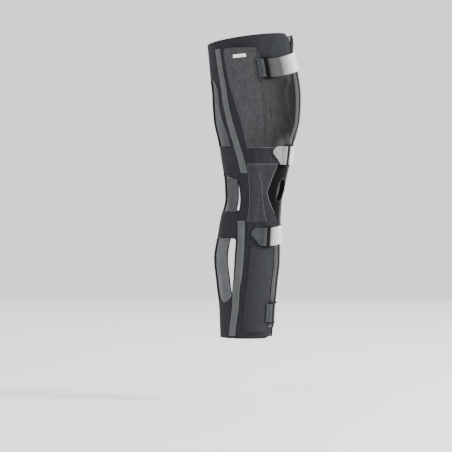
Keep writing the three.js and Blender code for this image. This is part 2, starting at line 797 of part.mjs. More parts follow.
// A strap: sewn down on the inner side, over the front, round the ring's bar and back on itself
const LIFT_BLEND = 16;
const RETURN_BLEND = 14;
function strapBody(strap) {
  const perDegree = arcPerDegree(strap.height);
  const barArc = strap.ringTurn * perDegree - RING_HALF_PITCH;
  const endArc = STRAP_END_TURN * perDegree;
  const half = STRAP_CLOTH / 2;
  const channelEdge =
    FRONT_GAP_TURN * perDegree - FRONT_GAP / 2 - CALF_CHANNEL_INSET - CHANNEL_WIDTH - STRAP_GAP;
  const lowerLift = (arc) => {
    const toEnd = smooth((channelEdge - arc) / LIFT_BLEND);
    const toRing = smooth(1 - (barArc - arc) / LIFT_BLEND);
    const raised = lerp(CHANNEL_SEAT, PANEL_SEAT, toEnd);
    return lerp(raised, strap.seat, toRing) + half;
  };
  const topLift = strap.seat + STRAP_CLOTH + 2 * RING_CLEARANCE + RING_THICKNESS + half;
  const upperLift = (arc) => {
    const resting = lowerLift(arc) + STRAP_CLOTH + LAYER_GAP;
    return lerp(topLift, resting, smooth((barArc - RING_BAR - arc) / RETURN_BLEND));
  };
  const restArc = barArc - RING_BAR - RETURN_BLEND;
  const returnArc = Math.max(barArc - STRAP_RETURN, endArc + STRAP_SEWN);
  const path = [
    ...run(endArc, barArc - RING_BAR, lowerLift),
    ...hairpin(barArc, strap.seat, STRAP_CLOTH, 1),
    ...run(barArc - RING_BAR, restArc, upperLift, BEND_STEP),
    ...run(restArc, returnArc, upperLift).slice(1),
  ];
  return band(ribbon(path, STRAP_CLOTH), strapHeight(strap), STRAP_WIDTH, 2);
}

// A tab: two layers sewn to the outer side and wrapped round the ring's other bar
const TAB_BLEND = 6;
function tabBody(strap) {
  const perDegree = arcPerDegree(strap.height);
  const barArc = strap.ringTurn * perDegree + RING_HALF_PITCH;
  const tipArc = barArc + strap.tabLength;
  const half = TAB_CLOTH / 2;
  const lowLift = () => strap.seat + half;
  const topLift = strap.seat + TAB_CLOTH + 2 * RING_CLEARANCE + RING_THICKNESS + half;
  const resting = strap.seat + TAB_CLOTH + LAYER_GAP + half;
  const upperLift = (arc) =>
    lerp(topLift, resting, smooth((arc - barArc - RING_BAR) / TAB_BLEND));
  const path = [
    ...run(tipArc, barArc + RING_BAR, lowLift),
    ...hairpin(barArc, strap.seat, TAB_CLOTH, -1),
    ...run(barArc + RING_BAR, tipArc, upperLift, BEND_STEP),
  ];
  const body = band(ribbon(path, TAB_CLOTH), strapHeight(strap), STRAP_WIDTH, 2);
  if (strap.tipLength === 0) {
    return body;
  }
  return common(body, plate(tipOutline(strap, barArc, tipArc), [], 0, CUT_DEPTH));
}

// Outline that points the end of a tab: its point lies above the middle
const POINT_SHARE = 0.68;
const TIP_CORNER = 0.22;
function tipOutline(strap, barArc, tipArc) {
  const perDegree = arcPerDegree(strap.height);
  const reach = RING_WIDTH;
  const shoulder = tipArc - strap.tipLength;
  const corner = [
    [barArc - reach, -0.1],
    [shoulder - strap.tipLength * TIP_CORNER, -0.1],
    [shoulder, 0.02],
    [tipArc - 2, POINT_SHARE - TIP_CORNER / 2],
    [tipArc, POINT_SHARE],
    [tipArc - 2, POINT_SHARE + TIP_CORNER / 3],
    [shoulder + 2, 0.97],
    [shoulder - 2, 1.1],
    [barArc - reach, 1.1],
  ];
  return corner.map(([arc, share]) => ({
    turn: arc / perDegree,
    height: strapHeight(strap)(arc) + STRAP_WIDTH * (share - 0.5),
  }));
}

// A ring: a flat plastic frame with two slots and a bridge between them
const RING_CORNER_STEPS = 2;
function rectangle(strap, left, right, halfHeight, radius) {
  const perDegree = arcPerDegree(strap.height);
  const middle = strap.ringTurn * perDegree;
  const corners = [
    [right - radius, halfHeight - radius, 0],
    [left + radius, halfHeight - radius, 90],
    [left + radius, 0, 180, 0],
    [left + radius, -halfHeight + radius, 180],
    [right - radius, -halfHeight + radius, 270],
    [right - radius, 0, 0, 0],
  ];
  return corners.flatMap(([arc, height, start, turns = RING_CORNER_STEPS]) =>
    steps(turns || 1).slice(0, turns + 1).map((share) => {
      const angle = (start + 90 * share) * RADIAN;
      return {
        turn: (middle + arc + radius * Math.cos(angle)) / perDegree,
        height: strap.height + height + radius * Math.sin(angle),
      };
    }),
  );
}

const RING_CORNER = 1.6;
const SLOT_CORNER = 0.6;
const RING_LIFT = RING_CLEARANCE + STRAP_CLOTH;
function ringBody(strap) {
  const slotHalf = STRAP_WIDTH / 2 + SLOT_CLEARANCE;
  const outerHalf = slotHalf + RING_WALL;
  const low = strap.seat + RING_LIFT;
  const outer = rectangle(strap, -RING_WIDTH / 2, RING_WIDTH / 2, outerHalf, RING_CORNER);
  const inner = RING_BRIDGE / 2;
  const holes = [-1, 1].map((way) => {
    const near = way * inner;
    const far = way * (inner + RING_SLOT);
    return rectangle(strap, Math.min(near, far), Math.max(near, far), slotHalf, SLOT_CORNER);
  });
  return plate(outer, holes, low, low + RING_THICKNESS);
}

// Assembly
const sides = [
  { side: 1, word: 'lateral' },
  { side: -1, word: 'medial' },
];

for (const section of SECTIONS) {
  addPiece(`posterior_${section.name}_panel`, posteriorPanel(section), 'laminate');
}
addPiece('patella_insert', patellaInsert(), 'stretch');

const calfRear = curve(CALF_PANEL_REAR, 'turn');
const kneeRear = curve(KNEE_PANEL_REAR, 'turn');
const thighChannel = curve(THIGH_CHANNEL_LINE, 'turn');
const calfChannel = curve(CALF_CHANNEL_LINE, 'turn');

for (const { side, word } of sides) {
  for (const section of SECTIONS) {
    addPiece(`${word}_${section.name}_shell`, sideShell(side, section), 'laminate');
  }
  addPiece(`${word}_thigh_panel`, thighPanel(side), 'velour');
  const upperBand = panel({
    side,
    bottom: KNEE_PANEL_TOP,
    top: THIGH_PANEL_BOTTOM - PIPING_GAP,
    rear: kneeRear,
    front: besideEdge(side),
    columns: steps(7),
  });
  addPiece(`${word}_upper_loop_band`, upperBand, 'loop');
  const kneePanel = panel({
    side,
    bottom: KNEE_PANEL_BOTTOM,
    top: KNEE_PANEL_TOP - PIPING_GAP,
    rear: kneeRear,
    front: besideEdge(side),
    columns: steps(6),
  });
  addPiece(`${word}_knee_panel`, kneePanel, 'velour');
  const lowerBand = panel({
    side,
    bottom: CALF_PANEL_TOP,
    top: KNEE_PANEL_BOTTOM - PIPING_GAP,
    rear: () => LOWER_BAND_TURN,
    front: besideEdge(side),
    columns: steps(7),
  });
  addPiece(`${word}_lower_loop_band`, lowerBand, 'loop');
  const calfPanel = panel({
    side,
    bottom: CALF_PANEL_BOTTOM,
    top: CALF_PANEL_TOP - PIPING_GAP,
    rear: calfRear,
    front: besideChannel(side, CALF_CHANNEL_INSET),
    columns: [0, 0.02, 0.06, 0.12, 0.25, 0.4, 0.55, 0.7, 0.85, 0.93, 0.97, 1],
    radius: { bottomRear: 14, bottomFront: 10 },
  });
  addPiece(`${word}_calf_panel`, calfPanel, 'velour');
  const rearThighChannel = channel({
    side,
    bottom: 0.11 * THIGH_REACH,
    top: 0.9 * THIGH_REACH,
    line: thighChannel,
    rows: 9,
  });
  addPiece(`${word}_thigh_channel`, rearThighChannel, 'webbing');
  const rearCalfChannel = channel({
    side,
    bottom: -0.985 * CALF_REACH,
    top: -0.205 * CALF_REACH,
    line: calfChannel,
    rows: 9,
  });
  addPiece(`${word}_calf_channel`, rearCalfChannel, 'webbing');
  const frontThighChannel = channel({
    side,
    bottom: NOTCH_TOP,
    top: 0.78 * THIGH_REACH,
    line: channelMiddle(side, THIGH_CHANNEL_INSET),
    rows: 5,
  });
  addPiece(`${word}_thigh_front_channel`, frontThighChannel, 'webbing');
  const frontCalfChannel = channel({
    side,
    bottom: -0.93 * CALF_REACH,
    top: CALF_PANEL_TOP - PIPING_GAP,
    line: channelMiddle(side, CALF_CHANNEL_INSET),
    rows: 5,
  });
  addPiece(`${word}_calf_front_channel`, frontCalfChannel, 'webbing');
}

const posteriorChannel = channel({
  side: 1,
  bottom: -0.95 * CALF_REACH,
  top: 0.87 * THIGH_REACH,
  line: () => 180,
  rows: 1,
});
addPiece('posterior_channel', posteriorChannel, 'webbing');

for (const strap of STRAPS) {
  addPiece(`strap_${strap.name}`, strapBody(strap), 'strap');
  addPiece(`ring_${strap.name}`, ringBody(strap), 'plastic');
  addPiece(`tab_${strap.name}`, tabBody(strap), 'tab');
}

// The blank label, flat on the pocket below its top edge
const LABEL_ON_LEG = 0.852 * THIGH_REACH;
const labelOutline = [
  [-1, -1],
  [1, -1],
  [1, 1],
  [-1, 1],
].map(([across, up]) => ({
  turn: LABEL_TURN + degrees((across * LABEL_WIDTH) / 2, LABEL_ON_LEG),
  height: LABEL_ON_LEG + (up * LABEL_HEIGHT) / 2 - (across * LABEL_RISE) / 2,
}));
const labelLow = PANEL_TOP + LAYER_GAP;
const label = common(
  tube(labelLow, labelLow + LABEL_CLOTH),
  plate(labelOutline, [], -CUT_DEPTH, CUT_DEPTH),
);
addPiece('label_tab', label, 'label');

export default root;
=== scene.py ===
"""Knee immobilizer, dressed in its cloths.

Every cloth is cut flat, as millimetres round the leg by height, and then wrapped on the form of
the leg at its own lift over the laminate. Sizes are in millimetres until they reach a mesh.
"""

import math
from contextlib import contextmanager

import bpy
import numpy as np
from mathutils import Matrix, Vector


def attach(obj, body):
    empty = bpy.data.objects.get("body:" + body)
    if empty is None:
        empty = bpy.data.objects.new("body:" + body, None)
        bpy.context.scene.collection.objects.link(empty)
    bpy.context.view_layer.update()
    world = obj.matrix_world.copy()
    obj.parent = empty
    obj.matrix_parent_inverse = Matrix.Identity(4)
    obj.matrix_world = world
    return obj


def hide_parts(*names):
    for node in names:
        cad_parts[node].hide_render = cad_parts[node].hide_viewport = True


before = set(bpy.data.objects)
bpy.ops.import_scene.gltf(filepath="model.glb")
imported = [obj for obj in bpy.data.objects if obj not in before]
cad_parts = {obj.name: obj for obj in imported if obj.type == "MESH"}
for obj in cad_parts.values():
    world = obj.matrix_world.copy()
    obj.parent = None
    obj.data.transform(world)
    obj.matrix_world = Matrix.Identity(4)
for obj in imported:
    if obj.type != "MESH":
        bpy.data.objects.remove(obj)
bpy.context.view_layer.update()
bpy.ops.object.select_all(action="DESELECT")

MM = 0.001
SIDES = ((1, "lateral"), (-1, "medial"))

# Reach over and under the middle of the knee, and widths over the outer face of the laminate
THIGH_REACH = 335
CALF_REACH = 318
TOP_RIM_DROP = 24
TOP_WIDTH = 170
THIGH_WIDTH = 181
KNEE_WIDTH = 117
CALF_WIDTH = 133
ANKLE_WIDTH = 107
DEPTH_PER_WIDTH = 1.064
TOP_SETBACK = 14
THIGH_ADVANCE = 5
CALF_SETBACK = 18

# Cloths
LAMINATE = 3.5
VELOUR = 1.7
CHANNEL_CLOTH = 1.3
CHANNEL_CROWN = 0.9
INSERT_CLOTH = 1.6
STRAP_CLOTH = 1.5
TAB_CLOTH = 1.2
LABEL_CLOTH = 0.5
PANEL_LIFT = 1.15
CHANNEL_LIFT = 1.0
PANEL_SEAT = 2.6
CHANNEL_SEAT = 3.2

# Width and depth of the bindings over the edges, and of the piping
WINDOW_TAPE = (3.6, LAMINATE + 1.3)
NOTCH_TAPE = (3.4, LAMINATE + 1.2)
RIM_TAPE = (2.6, LAMINATE + 0.9)
OPENING_TAPE = (3.4, INSERT_CLOTH + 1.6)
LEVEL_PIPING = (1.5, 1.3)
SEAM_PIPING = (1.2, 1.0)
REAR_PIPING = (1.3, 1.6)

# Front gap, channels, notch and kneecap opening
FRONT_GAP = 7
FRONT_GAP_TURN = -9
CORNER_RADIUS = 26
BACK_STRIP_WIDTH = 66
CHANNEL_WIDTH = 15
THIGH_CHANNEL_INSET = 1.5
CALF_CHANNEL_INSET = 4.5
PANEL_MARGIN = 1.5
NOTCH_TOP = 100
NOTCH_BOTTOM = 86
NOTCH_TURN = 44.5
OPENING_WIDTH = 38
OPENING_HEIGHT = 52
OPENING_TURN = 2

# Straps, rings and label
STRAP_WIDTH = 39
STRAP_END_TURN = -68
STRAP_RETURN = 95
STRAP_SEWN = 14
RING_BAR = 3
RING_SLOT = 3.1
RING_BRIDGE = 7
RING_WALL = 3
RING_THICKNESS = 2.4
RING_CLEARANCE = 0.85
LABEL_WIDTH = 27
LABEL_HEIGHT = 7
LABEL_RISE = 2.5
LABEL_TURN = 81
LABEL_HEIGHT_ON_LEG = 0.852 * THIGH_REACH

# In the tables up to the notch a height is a share of the reach: under 0 down the calf, over 0
# up the thigh

# Height, width across and setback of each section of the leg
FORM = [
    (-1.00, 1.00 * ANKLE_WIDTH, 1.05 * CALF_SETBACK),
    (-0.79, 1.07 * ANKLE_WIDTH, 0.98 * CALF_SETBACK),
    (-0.63, 0.93 * CALF_WIDTH, 1.00 * CALF_SETBACK),
    (-0.47, 1.00 * CALF_WIDTH, 1.00 * CALF_SETBACK),
    (-0.32, 0.96 * CALF_WIDTH, 0.76 * CALF_SETBACK),
    (-0.19, 1.04 * KNEE_WIDTH, 0.50 * CALF_SETBACK),
    (-0.09, 1.00 * KNEE_WIDTH, 0.10 * CALF_SETBACK),
    (0.00, 1.06 * KNEE_WIDTH, -0.65 * THIGH_ADVANCE),
    (0.06, 1.09 * KNEE_WIDTH, -0.90 * THIGH_ADVANCE),
    (0.15, 0.76 * THIGH_WIDTH, -0.80 * THIGH_ADVANCE),
    (0.30, 0.84 * THIGH_WIDTH, -0.70 * THIGH_ADVANCE),
    (0.45, 0.97 * THIGH_WIDTH, -1.00 * THIGH_ADVANCE),
    (0.60, 1.00 * THIGH_WIDTH, -0.90 * THIGH_ADVANCE),
    (0.75, 0.99 * THIGH_WIDTH, 0.10 * TOP_SETBACK),
    (0.90, 1.01 * TOP_WIDTH, 0.75 * TOP_SETBACK),
    (1.00, 1.00 * TOP_WIDTH, 1.00 * TOP_SETBACK),
]

# Height and turn of the front edge of the windows, of the channels and of the seams
WINDOW_LINE = [
    (-1.00, 98), (-0.76, 96), (-0.66, 93), (-0.57, 89), (-0.44, 86.5), (-0.32, 88), (-0.15, 90.5),
    (-0.07, 93), (0.03, 98), (0.18, 102), (0.31, 109), (0.40, 114), (0.48, 119), (0.63, 124),
    (0.70, 127), (1.00, 128),
]
THIGH_CHANNEL_LINE = [
    (0.11, 87), (0.18, 90), (0.32, 98), (0.45, 104), (0.58, 109.5), (0.70, 112), (0.90, 115),
]
CALF_CHANNEL_LINE = [
    (-0.985, 98), (-0.91, 95), (-0.78, 89), (-0.67, 86), (-0.57, 80.5), (-0.43, 77.5),
    (-0.28, 80), (-0.205, 83),
]
CALF_PANEL_REAR = [
    (-0.96, 72.5), (-0.87, 72), (-0.74, 69), (-0.64, 65), (-0.48, 61), (-0.38, 59),
]
KNEE_PANEL_REAR = [
    (-0.22, 69), (-0.10, 72.5), (0.00, 76.5), (0.16, 80),
]
THIGH_PANEL_REAR = [
    (0.27, 80), (0.35, 83), (0.45, 87), (0.57, 94), (0.70, 101), (0.91, 104.5),
]
POCKET_SEAM = [
    (-0.22, 50), (0.00, 50), (0.13, 52), (0.32, 54), (0.57, 58), (0.70, 60), (0.91, 58),
]
KNEE_FRONT_SEAM = [
    (-0.22, 33), (-0.10, 46), (0.00, 53.8), (0.17, 62),
]
# The notch: height, and depth as a share of the turn from the edge to the apex
NOTCH = [
    (-1.00 * NOTCH_BOTTOM, 0), (-0.93 * NOTCH_BOTTOM, 0.06), (-0.74 * NOTCH_BOTTOM, 0.25),
    (-0.57 * NOTCH_BOTTOM, 0.43), (-0.40 * NOTCH_BOTTOM, 0.64), (-0.24 * NOTCH_BOTTOM, 0.83),
    (-0.05 * NOTCH_BOTTOM, 1), (0.26 * NOTCH_TOP, 0.84), (0.58 * NOTCH_TOP, 0.63),
    (0.75 * NOTCH_TOP, 0.50), (0.88 * NOTCH_TOP, 0.30), (1.00 * NOTCH_TOP, 0),
]
# Windows: name, top at the front and at the rear, bottom, radius at the top and at the bottom
WINDOWS = [
    ("thigh", 0.71 * THIGH_REACH, 0.71 * THIGH_REACH, 0.275 * THIGH_REACH, 22, 4),
    ("knee", 0.075 * THIGH_REACH, 0.115 * THIGH_REACH, -0.15 * CALF_REACH, 5, 8),
    ("calf", -0.32 * CALF_REACH, -0.32 * CALF_REACH, -0.765 * CALF_REACH, 8, 25),
]
# Straps: name, height at the ring, rise to the front, turn of the ring, lift, tab and its point
STRAPS = [
    ("thigh", 0.775 * THIGH_REACH, 0.44 * STRAP_WIDTH, 48.5, PANEL_SEAT, 0.26 * STRAP_WIDTH, 0),
    ("above_knee", 0.222 * THIGH_REACH, 0.15 * STRAP_WIDTH, 9, PANEL_SEAT, 0.77 * STRAP_WIDTH,
     0.41 * STRAP_WIDTH),
    ("below_knee", -0.313 * CALF_REACH, 0.18 * STRAP_WIDTH, 30, PANEL_SEAT, 0.72 * STRAP_WIDTH,
     0.41 * STRAP_WIDTH),
    ("ankle", -0.83 * CALF_REACH, 0.08 * STRAP_WIDTH, 7, CHANNEL_SEAT, 0.26 * STRAP_WIDTH, 0),
]
# Folds of the worn sleeve: turn, height, reach along, reach across, lean in degrees, lift
FOLDS = [
    (-24, 322, 26, 24, 0, 7), (24, 226, 30, 7, -24, 3.6), (9, 206, 46, 15, -8, -2.2),
    (30, 205, 60, 9, 10, 1.8), (22, 168, 40, 7, 16, 1.6), (19, 116, 34, 7, 42, 3.4),
    (31, 110, 24, 11, 20, 2.6), (29, 128, 40, 11, 30, -1.6), (38, 190, 70, 16, 4, -1.2),
    (52, 112, 40, 6, 0, 0.9), (41, 110, 34, 6, 4, -0.8), (70, 20, 60, 10, 2, 0.7),
    (30, -70, 26, 8, -30, 1.6), (20, -150, 70, 10, 2, -1.1), (8, -200, 60, 9, 0, 1.0),
    (118, 60, 40, 14, 60, -1.1), (108, -70, 30, 12, 70, 1.0), (-30, 190, 60, 16, -6, -1.5),
    (-24, 120, 34, 9, -38, 2.0), (160, 150, 80, 22, 4, -1.2), (-120, 60, 40, 14, -60, -1.1),
]


# A faint ripple of all the cloth, and the share of the reach over which it follows the rims
RIPPLE = 0.25
RIM_ZONE = 0.75


def curve(rows, column=1):
    """A smooth line through the rows of a table, with no overshoot between them."""
    x = np.array([row[0] * (CALF_REACH if row[0] < 0 else THIGH_REACH) for row in rows])
    y = np.array([row[column] for row in rows], float)
    slope = np.diff(y) / np.diff(x)
    product = slope[:-1] * slope[1:]
    total = np.where(product > 0, slope[:-1] + slope[1:], 1)
    inner = np.where(product > 0, 2 * product / total, 0)
    tangent = np.concatenate([slope[:1], inner, slope[-1:]])

    def at(height):
        h = np.clip(height, x[0], x[-1])
        i = np.clip(np.searchsorted(x, h, side="right") - 1, 0, len(x) - 2)
        span = x[i + 1] - x[i]
        s = (h - x[i]) / span
        r = 1 - s
        return (
            y[i] * r * r * (1 + 2 * s)
            + tangent[i] * span * s * r * r
            + y[i + 1] * s * s * (3 - 2 * s)
            - tangent[i + 1] * span * s * s * r
        )

    return at


width_at = curve(FORM, 1)
setback_at = curve(FORM, 2)
window_line = curve(WINDOW_LINE)
pocket_seam = curve(POCKET_SEAM)
knee_front_seam = curve(KNEE_FRONT_SEAM)


def smooth(share):
    """From 0 to 1 with soft ends."""
    s = np.clip(share, 0, 1)
    return s * s * (3 - 2 * s)


def mix(a, b, share):
    return a + (b - a) * share


def on_leg(turn, height, lift):
    """Points in metres: turn in degrees, 0 at the front and 90 at the outer side."""
    angle = np.radians(turn)
    half_width = width_at(height) / 2 + lift
    half_depth = width_at(height) / 2 * DEPTH_PER_WIDTH + lift
    x = -half_width * np.sin(angle)
    y = setback_at(height) - half_depth * np.cos(angle)
    return np.stack([x, y, height + 0 * x], axis=-1) * MM


def arc_per_degree(height):
    """Millimetres of cloth for one degree of turn."""
    return width_at(height) / 4 * (1 + DEPTH_PER_WIDTH) * math.pi / 180


def degrees(length, height):
    return length / arc_per_degree(height)


def settle(turn, height):
    """How far the worn cloth stands out or sinks in at a place, the same for every layer."""
    turn = (turn + 180) % 360 - 180
    out = RIPPLE * np.sin(height / 17 + turn / 9) * np.sin(turn / 13 - height / 41)
    for fold_turn, fold_height, along, across, lean, lift in FOLDS:
        dx = (turn - fold_turn) * arc_per_degree(height)
        dz = height - fold_height
        c, s = math.cos(math.radians(lean)), math.sin(math.radians(lean))
        out = out + lift * np.exp(
            -(((dx * s + dz * c) / along) ** 2) - ((dx * c - dz * s) / across) ** 2
        )
    return out


def top_rim(turn):
    return THIGH_REACH - TOP_RIM_DROP * (1 - np.cos(np.radians(turn))) / 2


def corner_drop(distance, radius):
    inside = np.clip(radius - distance, 0, radius)
    return radius - np.sqrt(radius * radius - inside * inside)


def front_edge(side, height):
    """Turn of a side's front edge: the gap down the front and the notch at the knee."""
    gap_edge = FRONT_GAP_TURN + side * degrees(FRONT_GAP / 2, height)
    depth = np.interp(height, [row[0] for row in NOTCH], [row[1] for row in NOTCH])
    return mix(gap_edge, side * NOTCH_TURN, depth)


def rimmed(height, turn, from_front):
    """Heights near the rims follow the rims and their round front corners."""
    drop = corner_drop(from_front, CORNER_RADIUS)
    up = np.clip((height / THIGH_REACH - RIM_ZONE) / (1 - RIM_ZONE), 0, 1)
    down = np.clip((-height / CALF_REACH - RIM_ZONE) / (1 - RIM_ZONE), 0, 1)
    return height + up * (top_rim(turn) - drop - THIGH_REACH) + down * drop


# Finishes


def linear(code):
    """An sRGB hex colour as linear light, for a shader socket."""
    parts = [int(code[i : i + 2], 16) / 255 for i in (0, 2, 4)]
    return (*[p / 12.92 if p <= 0.04045 else ((p + 0.055) / 1.055) ** 2.4 for p in parts], 1)


def add_node(tree, kind, links=(), inputs=(), feeds=None, **settings):
    """Adds a node with its settings, fixed inputs and links, from nodes or from sockets."""
    made = tree.nodes.new(kind)
    for name, value in settings.items():
        setattr(made, name, value)
    for name, value in inputs:
        made.inputs[name].default_value = value
    for source, name in links:
        socket = source.outputs[0] if isinstance(source, bpy.types.Node) else source
        tree.links.new(socket, made.inputs[name])
    if feeds:
        tree.links.new(made.outputs[0], feeds)
    return made


def new_finish(name, roughness, sheen=0.0, sheen_tint="ffffff", specular=0.35):
    """A material with its shader, ready for colour and relief."""
    finish = bpy.data.materials.new(name)
    finish.use_nodes = True
    tree = finish.node_tree
    shader = tree.nodes["Principled BSDF"]
    shader.inputs["Roughness"].default_value = roughness
    shader.inputs["Specular IOR Level"].default_value = specular
    shader.inputs["Sheen Weight"].default_value = sheen
    shader.inputs["Sheen Roughness"].default_value = 0.5
    shader.inputs["Sheen Tint"].default_value = linear(sheen_tint)
    return finish, tree, shader


def per_metre(millimetres):
    """Noise scale whose grains are this wide."""
    return 1 / (millimetres * MM)


def bands_per_metre(millimetres):
    """Wave scale whose bands are this far apart: a wave turns over every 2 pi / 20."""
    return 2 * math.pi / 20 / (millimetres * MM)


def darkened(tree, colour, round_leg, start, end, share, painted_highlights=()):
    """Painted shade: darkens a colour by its reach from the front, in mm: round the leg, or
    straight across.

    It stays lighter at spots of painted highlight: each with a place, a radius and a share.
    """
    if round_leg:
        place = add_node(tree, "ShaderNodeUVMap", uv_map="UVMap").outputs[0]
    else:
        place = add_node(tree, "ShaderNodeTexCoord").outputs["Object"]
    from_front = add_node(tree, "ShaderNodeSeparateXYZ", [(place, "Vector")])
    if round_leg:
        from_front = add_node(tree, "ShaderNodeMath", [(from_front, 0)], operation="ABSOLUTE")
    limits = [("From Min", start * MM), ("From Max", end * MM), ("To Min", share)]
    value = add_node(tree, "ShaderNodeMapRange", [(from_front, "Value")], limits)
    for x, y, radius, most in painted_highlights:
        far = add_node(tree, "ShaderNodeVectorMath", [(place, 0)], [(1, (x * MM, y * MM, 0))],
                       operation="DISTANCE")
        limits = [("From Min", radius * MM), ("From Max", 0), ("To Max", most)]
        spot = add_node(tree, "ShaderNodeMapRange", [(far.outputs["Value"], "Value")], limits,
                        interpolation_type="SMOOTHSTEP")
        value = add_node(tree, "ShaderNodeMath", [(value, 0), (spot, 1)], operation="MAXIMUM")
    return add_node(tree, "ShaderNodeHueSaturation", [(colour, "Color"), (value, "Value")])


def join_finish(tree, shader, tone, stops, relief, strength, depth, painted_light=None):
    """Joins to the shader a tone in hex colours, by their positions, and a relief in mm."""
    colour = add_node(tree, "ShaderNodeValToRGB", [(tone, "Fac")])
    for element, (position, code) in zip(colour.color_ramp.elements, stops):
        element.position, element.color = position, linear(code)
    # painted light: shade darker to the front and spots of painted highlight, where given
    if painted_light:
        colour = darkened(tree, colour, *painted_light)
    tree.links.new(colour.outputs[0], shader.inputs["Base Color"])
    add_node(tree, "ShaderNodeBump", [(relief, "Height")],
             [("Strength", strength), ("Distance", depth * MM)], feeds=shader.inputs["Normal"])


def napped_cloth(name, dark, light, blotch, fibre, depth, roughness, sheen, sheen_tint,
                 painted_light=None):
    """Brushed or velour cloth: a soft nap that lies unevenly, over short fibres."""
    finish, tree, shader = new_finish(name, roughness, sheen, sheen_tint, 0.1)
    place = add_node(tree, "ShaderNodeTexCoord").outputs["Object"]
    long_place = add_node(tree, "ShaderNodeMapping", [(place, "Vector")], [("Scale", (1, 1, 0.8))])
    nap = add_node(tree, "ShaderNodeTexNoise", [(long_place, "Vector")],
                   [("Scale", per_metre(blotch)), ("Detail", 4), ("Roughness", 0.62)])
    hair = add_node(tree, "ShaderNodeTexNoise", [(place, "Vector")],
                    [("Scale", per_metre(fibre)), ("Detail", 3), ("Roughness", 0.7)])
    share = add_node(tree, "ShaderNodeMix", [(nap, "A"), (hair, "B")], [("Factor", 0.62)])
    join_finish(tree, shader, share, [(0.34, dark), (0.66, light)], hair, 0.7, depth, painted_light)
    return finish


WEAR_PATCH = 14


def woven_cloth(name, dark, light, rib, pick, across, depth, roughness, sheen=0.15,
                specular=0.15, painted_light=None):
    """Woven or ribbed cloth: ribs along the piece, and picks of the weft by their share."""
    finish, tree, shader = new_finish(name, roughness, sheen, "ffffff", specular)
    place = add_node(tree, "ShaderNodeUVMap", uv_map="UVMap")
    ribs, picks = [
        add_node(tree, "ShaderNodeTexWave", [(place, "Vector")],
                 [("Scale", bands_per_metre(apart)), ("Distortion", 0.4), ("Detail", 1)],
                 bands_direction=way).outputs["Fac"]
        for way, apart in (("X", rib), ("Y", pick))
    ]
    weave = add_node(tree, "ShaderNodeMix", [(ribs, "A"), (picks, "B")], [("Factor", across)])
    wear = add_node(tree, "ShaderNodeTexNoise", [(place, "Vector")],
                    [("Scale", per_metre(WEAR_PATCH)), ("Detail", 5), ("Roughness", 0.65)])
    share = add_node(tree, "ShaderNodeMix", [(weave, "A"), (wear, "B")], [("Factor", 0.6)])
    join_finish(tree, shader, share, [(0.25, dark), (0.75, light)], weave, 0.8, depth, painted_light)
    return finish


# Fibres, knits and ribs are drawn coarser than they are, 1 to 2 mm apart, so that they show

# Polyamide loop face on foam: nearly black, matt, with a faint blue cast where the nap turns
laminate_finish = napped_cloth(
    "brushed foam laminate", "191a1e", "292a2e", 14, 1.6, 0.35, 0.92, 0.06, "b4b6ba"
)
# Lining of the laminate: a grey knit, lighter than the face
lining_finish = napped_cloth(
    "grey lining knit", "7c7e82", "a0a2a6", 18, 1.3, 0.25, 0.9, 0.1, "d0d0d2"
)
# Polyester velour: a dense short pile, dark grey, with painted shade darker to the front and two
# painted highlights by the upper straps
velour_finish = napped_cloth(
    "dark grey velour", "2a2b2d", "464749", 9, 1.9, 0.4, 0.9, 0.05, "cccdd0",
    painted_light=(True, 26, 122, 0.08, [(28, 88, 48, 0.9), (36, 250, 40, 0.45)]),
)
# The same velour at the knee in a darker tone, with less painted shade to the front
knee_finish = napped_cloth(
    "dark grey velour of the knee", "1e1f22", "343538", 9, 1.9, 0.4, 0.9, 0.12, "cccdd0",
    painted_light=(True, 20, 70, 0.4),
)
# The same velour on the calf, with a slate cast
calf_finish = napped_cloth(
    "slate grey velour", "1f2023", "2b2c30", 11, 1.5, 0.3, 0.9, 0.1, "c4c6d0"
)
# Unbroken loop tape: long loose loops, black and rougher than the velour
loop_finish = napped_cloth(
    "black loop fabric", "141518", "2a2b2e", 5, 2.2, 0.7, 0.96, 0.08, "b4b6ba"
)
# Elastane knit of the insert: smooth and black, with a low sheen
stretch_finish = woven_cloth(
    "black stretch knit", "040405", "0a0a0c", 1.1, 1.6, 0.3, 0.15, 0.85, 0.02, 0.05
)
# Polyester webbing over the stays: a grey twill with ribs 1.5 mm apart, with painted shade darker
# to the front
webbing_finish = woven_cloth(
    "grey twill webbing", "373939", "525455", 1.5, 1.0, 0.3, 0.3, 0.82, 0.1,
    painted_light=(True, 28, 80, 0.5),
)
# Brushed loop strap: light grey, with a close low pile on a knitted base; painted shade darkens
# its outer side, towards the ring
strap_finish = woven_cloth(
    "light grey brushed strap", "aeadab", "d4d4d2", 1.3, 2.4, 0.75, 0.25, 0.9, 0.15,
    painted_light=(False, -47, 0, 0.07),
)
# The tab above the knee: the same make in a pale grey
pale_tab_finish = woven_cloth(
    "pale grey brushed tab", "646365", "868587", 1.3, 2.4, 0.6, 0.25, 0.9, 0.2
)
# The other tabs: the same make in a mid grey
tab_finish = woven_cloth(
    "mid grey brushed tab", "282a2c", "393b3d", 1.3, 2.4, 0.6, 0.3, 0.9, 0.12
)
# Folded elastic tape that binds the cut edges: black with a brown cast
binding_finish = woven_cloth(
    "black elastic binding", "0f0e10", "1d1a1b", 0.9, 1.3, 0.5, 0.2, 0.85, 0.06
)
# Grey piping and the bound edge of the notch
piping_finish = woven_cloth(
    "grey piping", "3a3c3e", "545658", 0.9, 1.3, 0.5, 0.2, 0.8, 0.08
)
# Damask label with nothing woven into it
label_finish = woven_cloth(
    "blank woven label", "d4d4d2", "efefec", 0.6, 0.6, 0.5, 0.1, 0.7, 0.2
)


THREAD_TWIST = 2.5


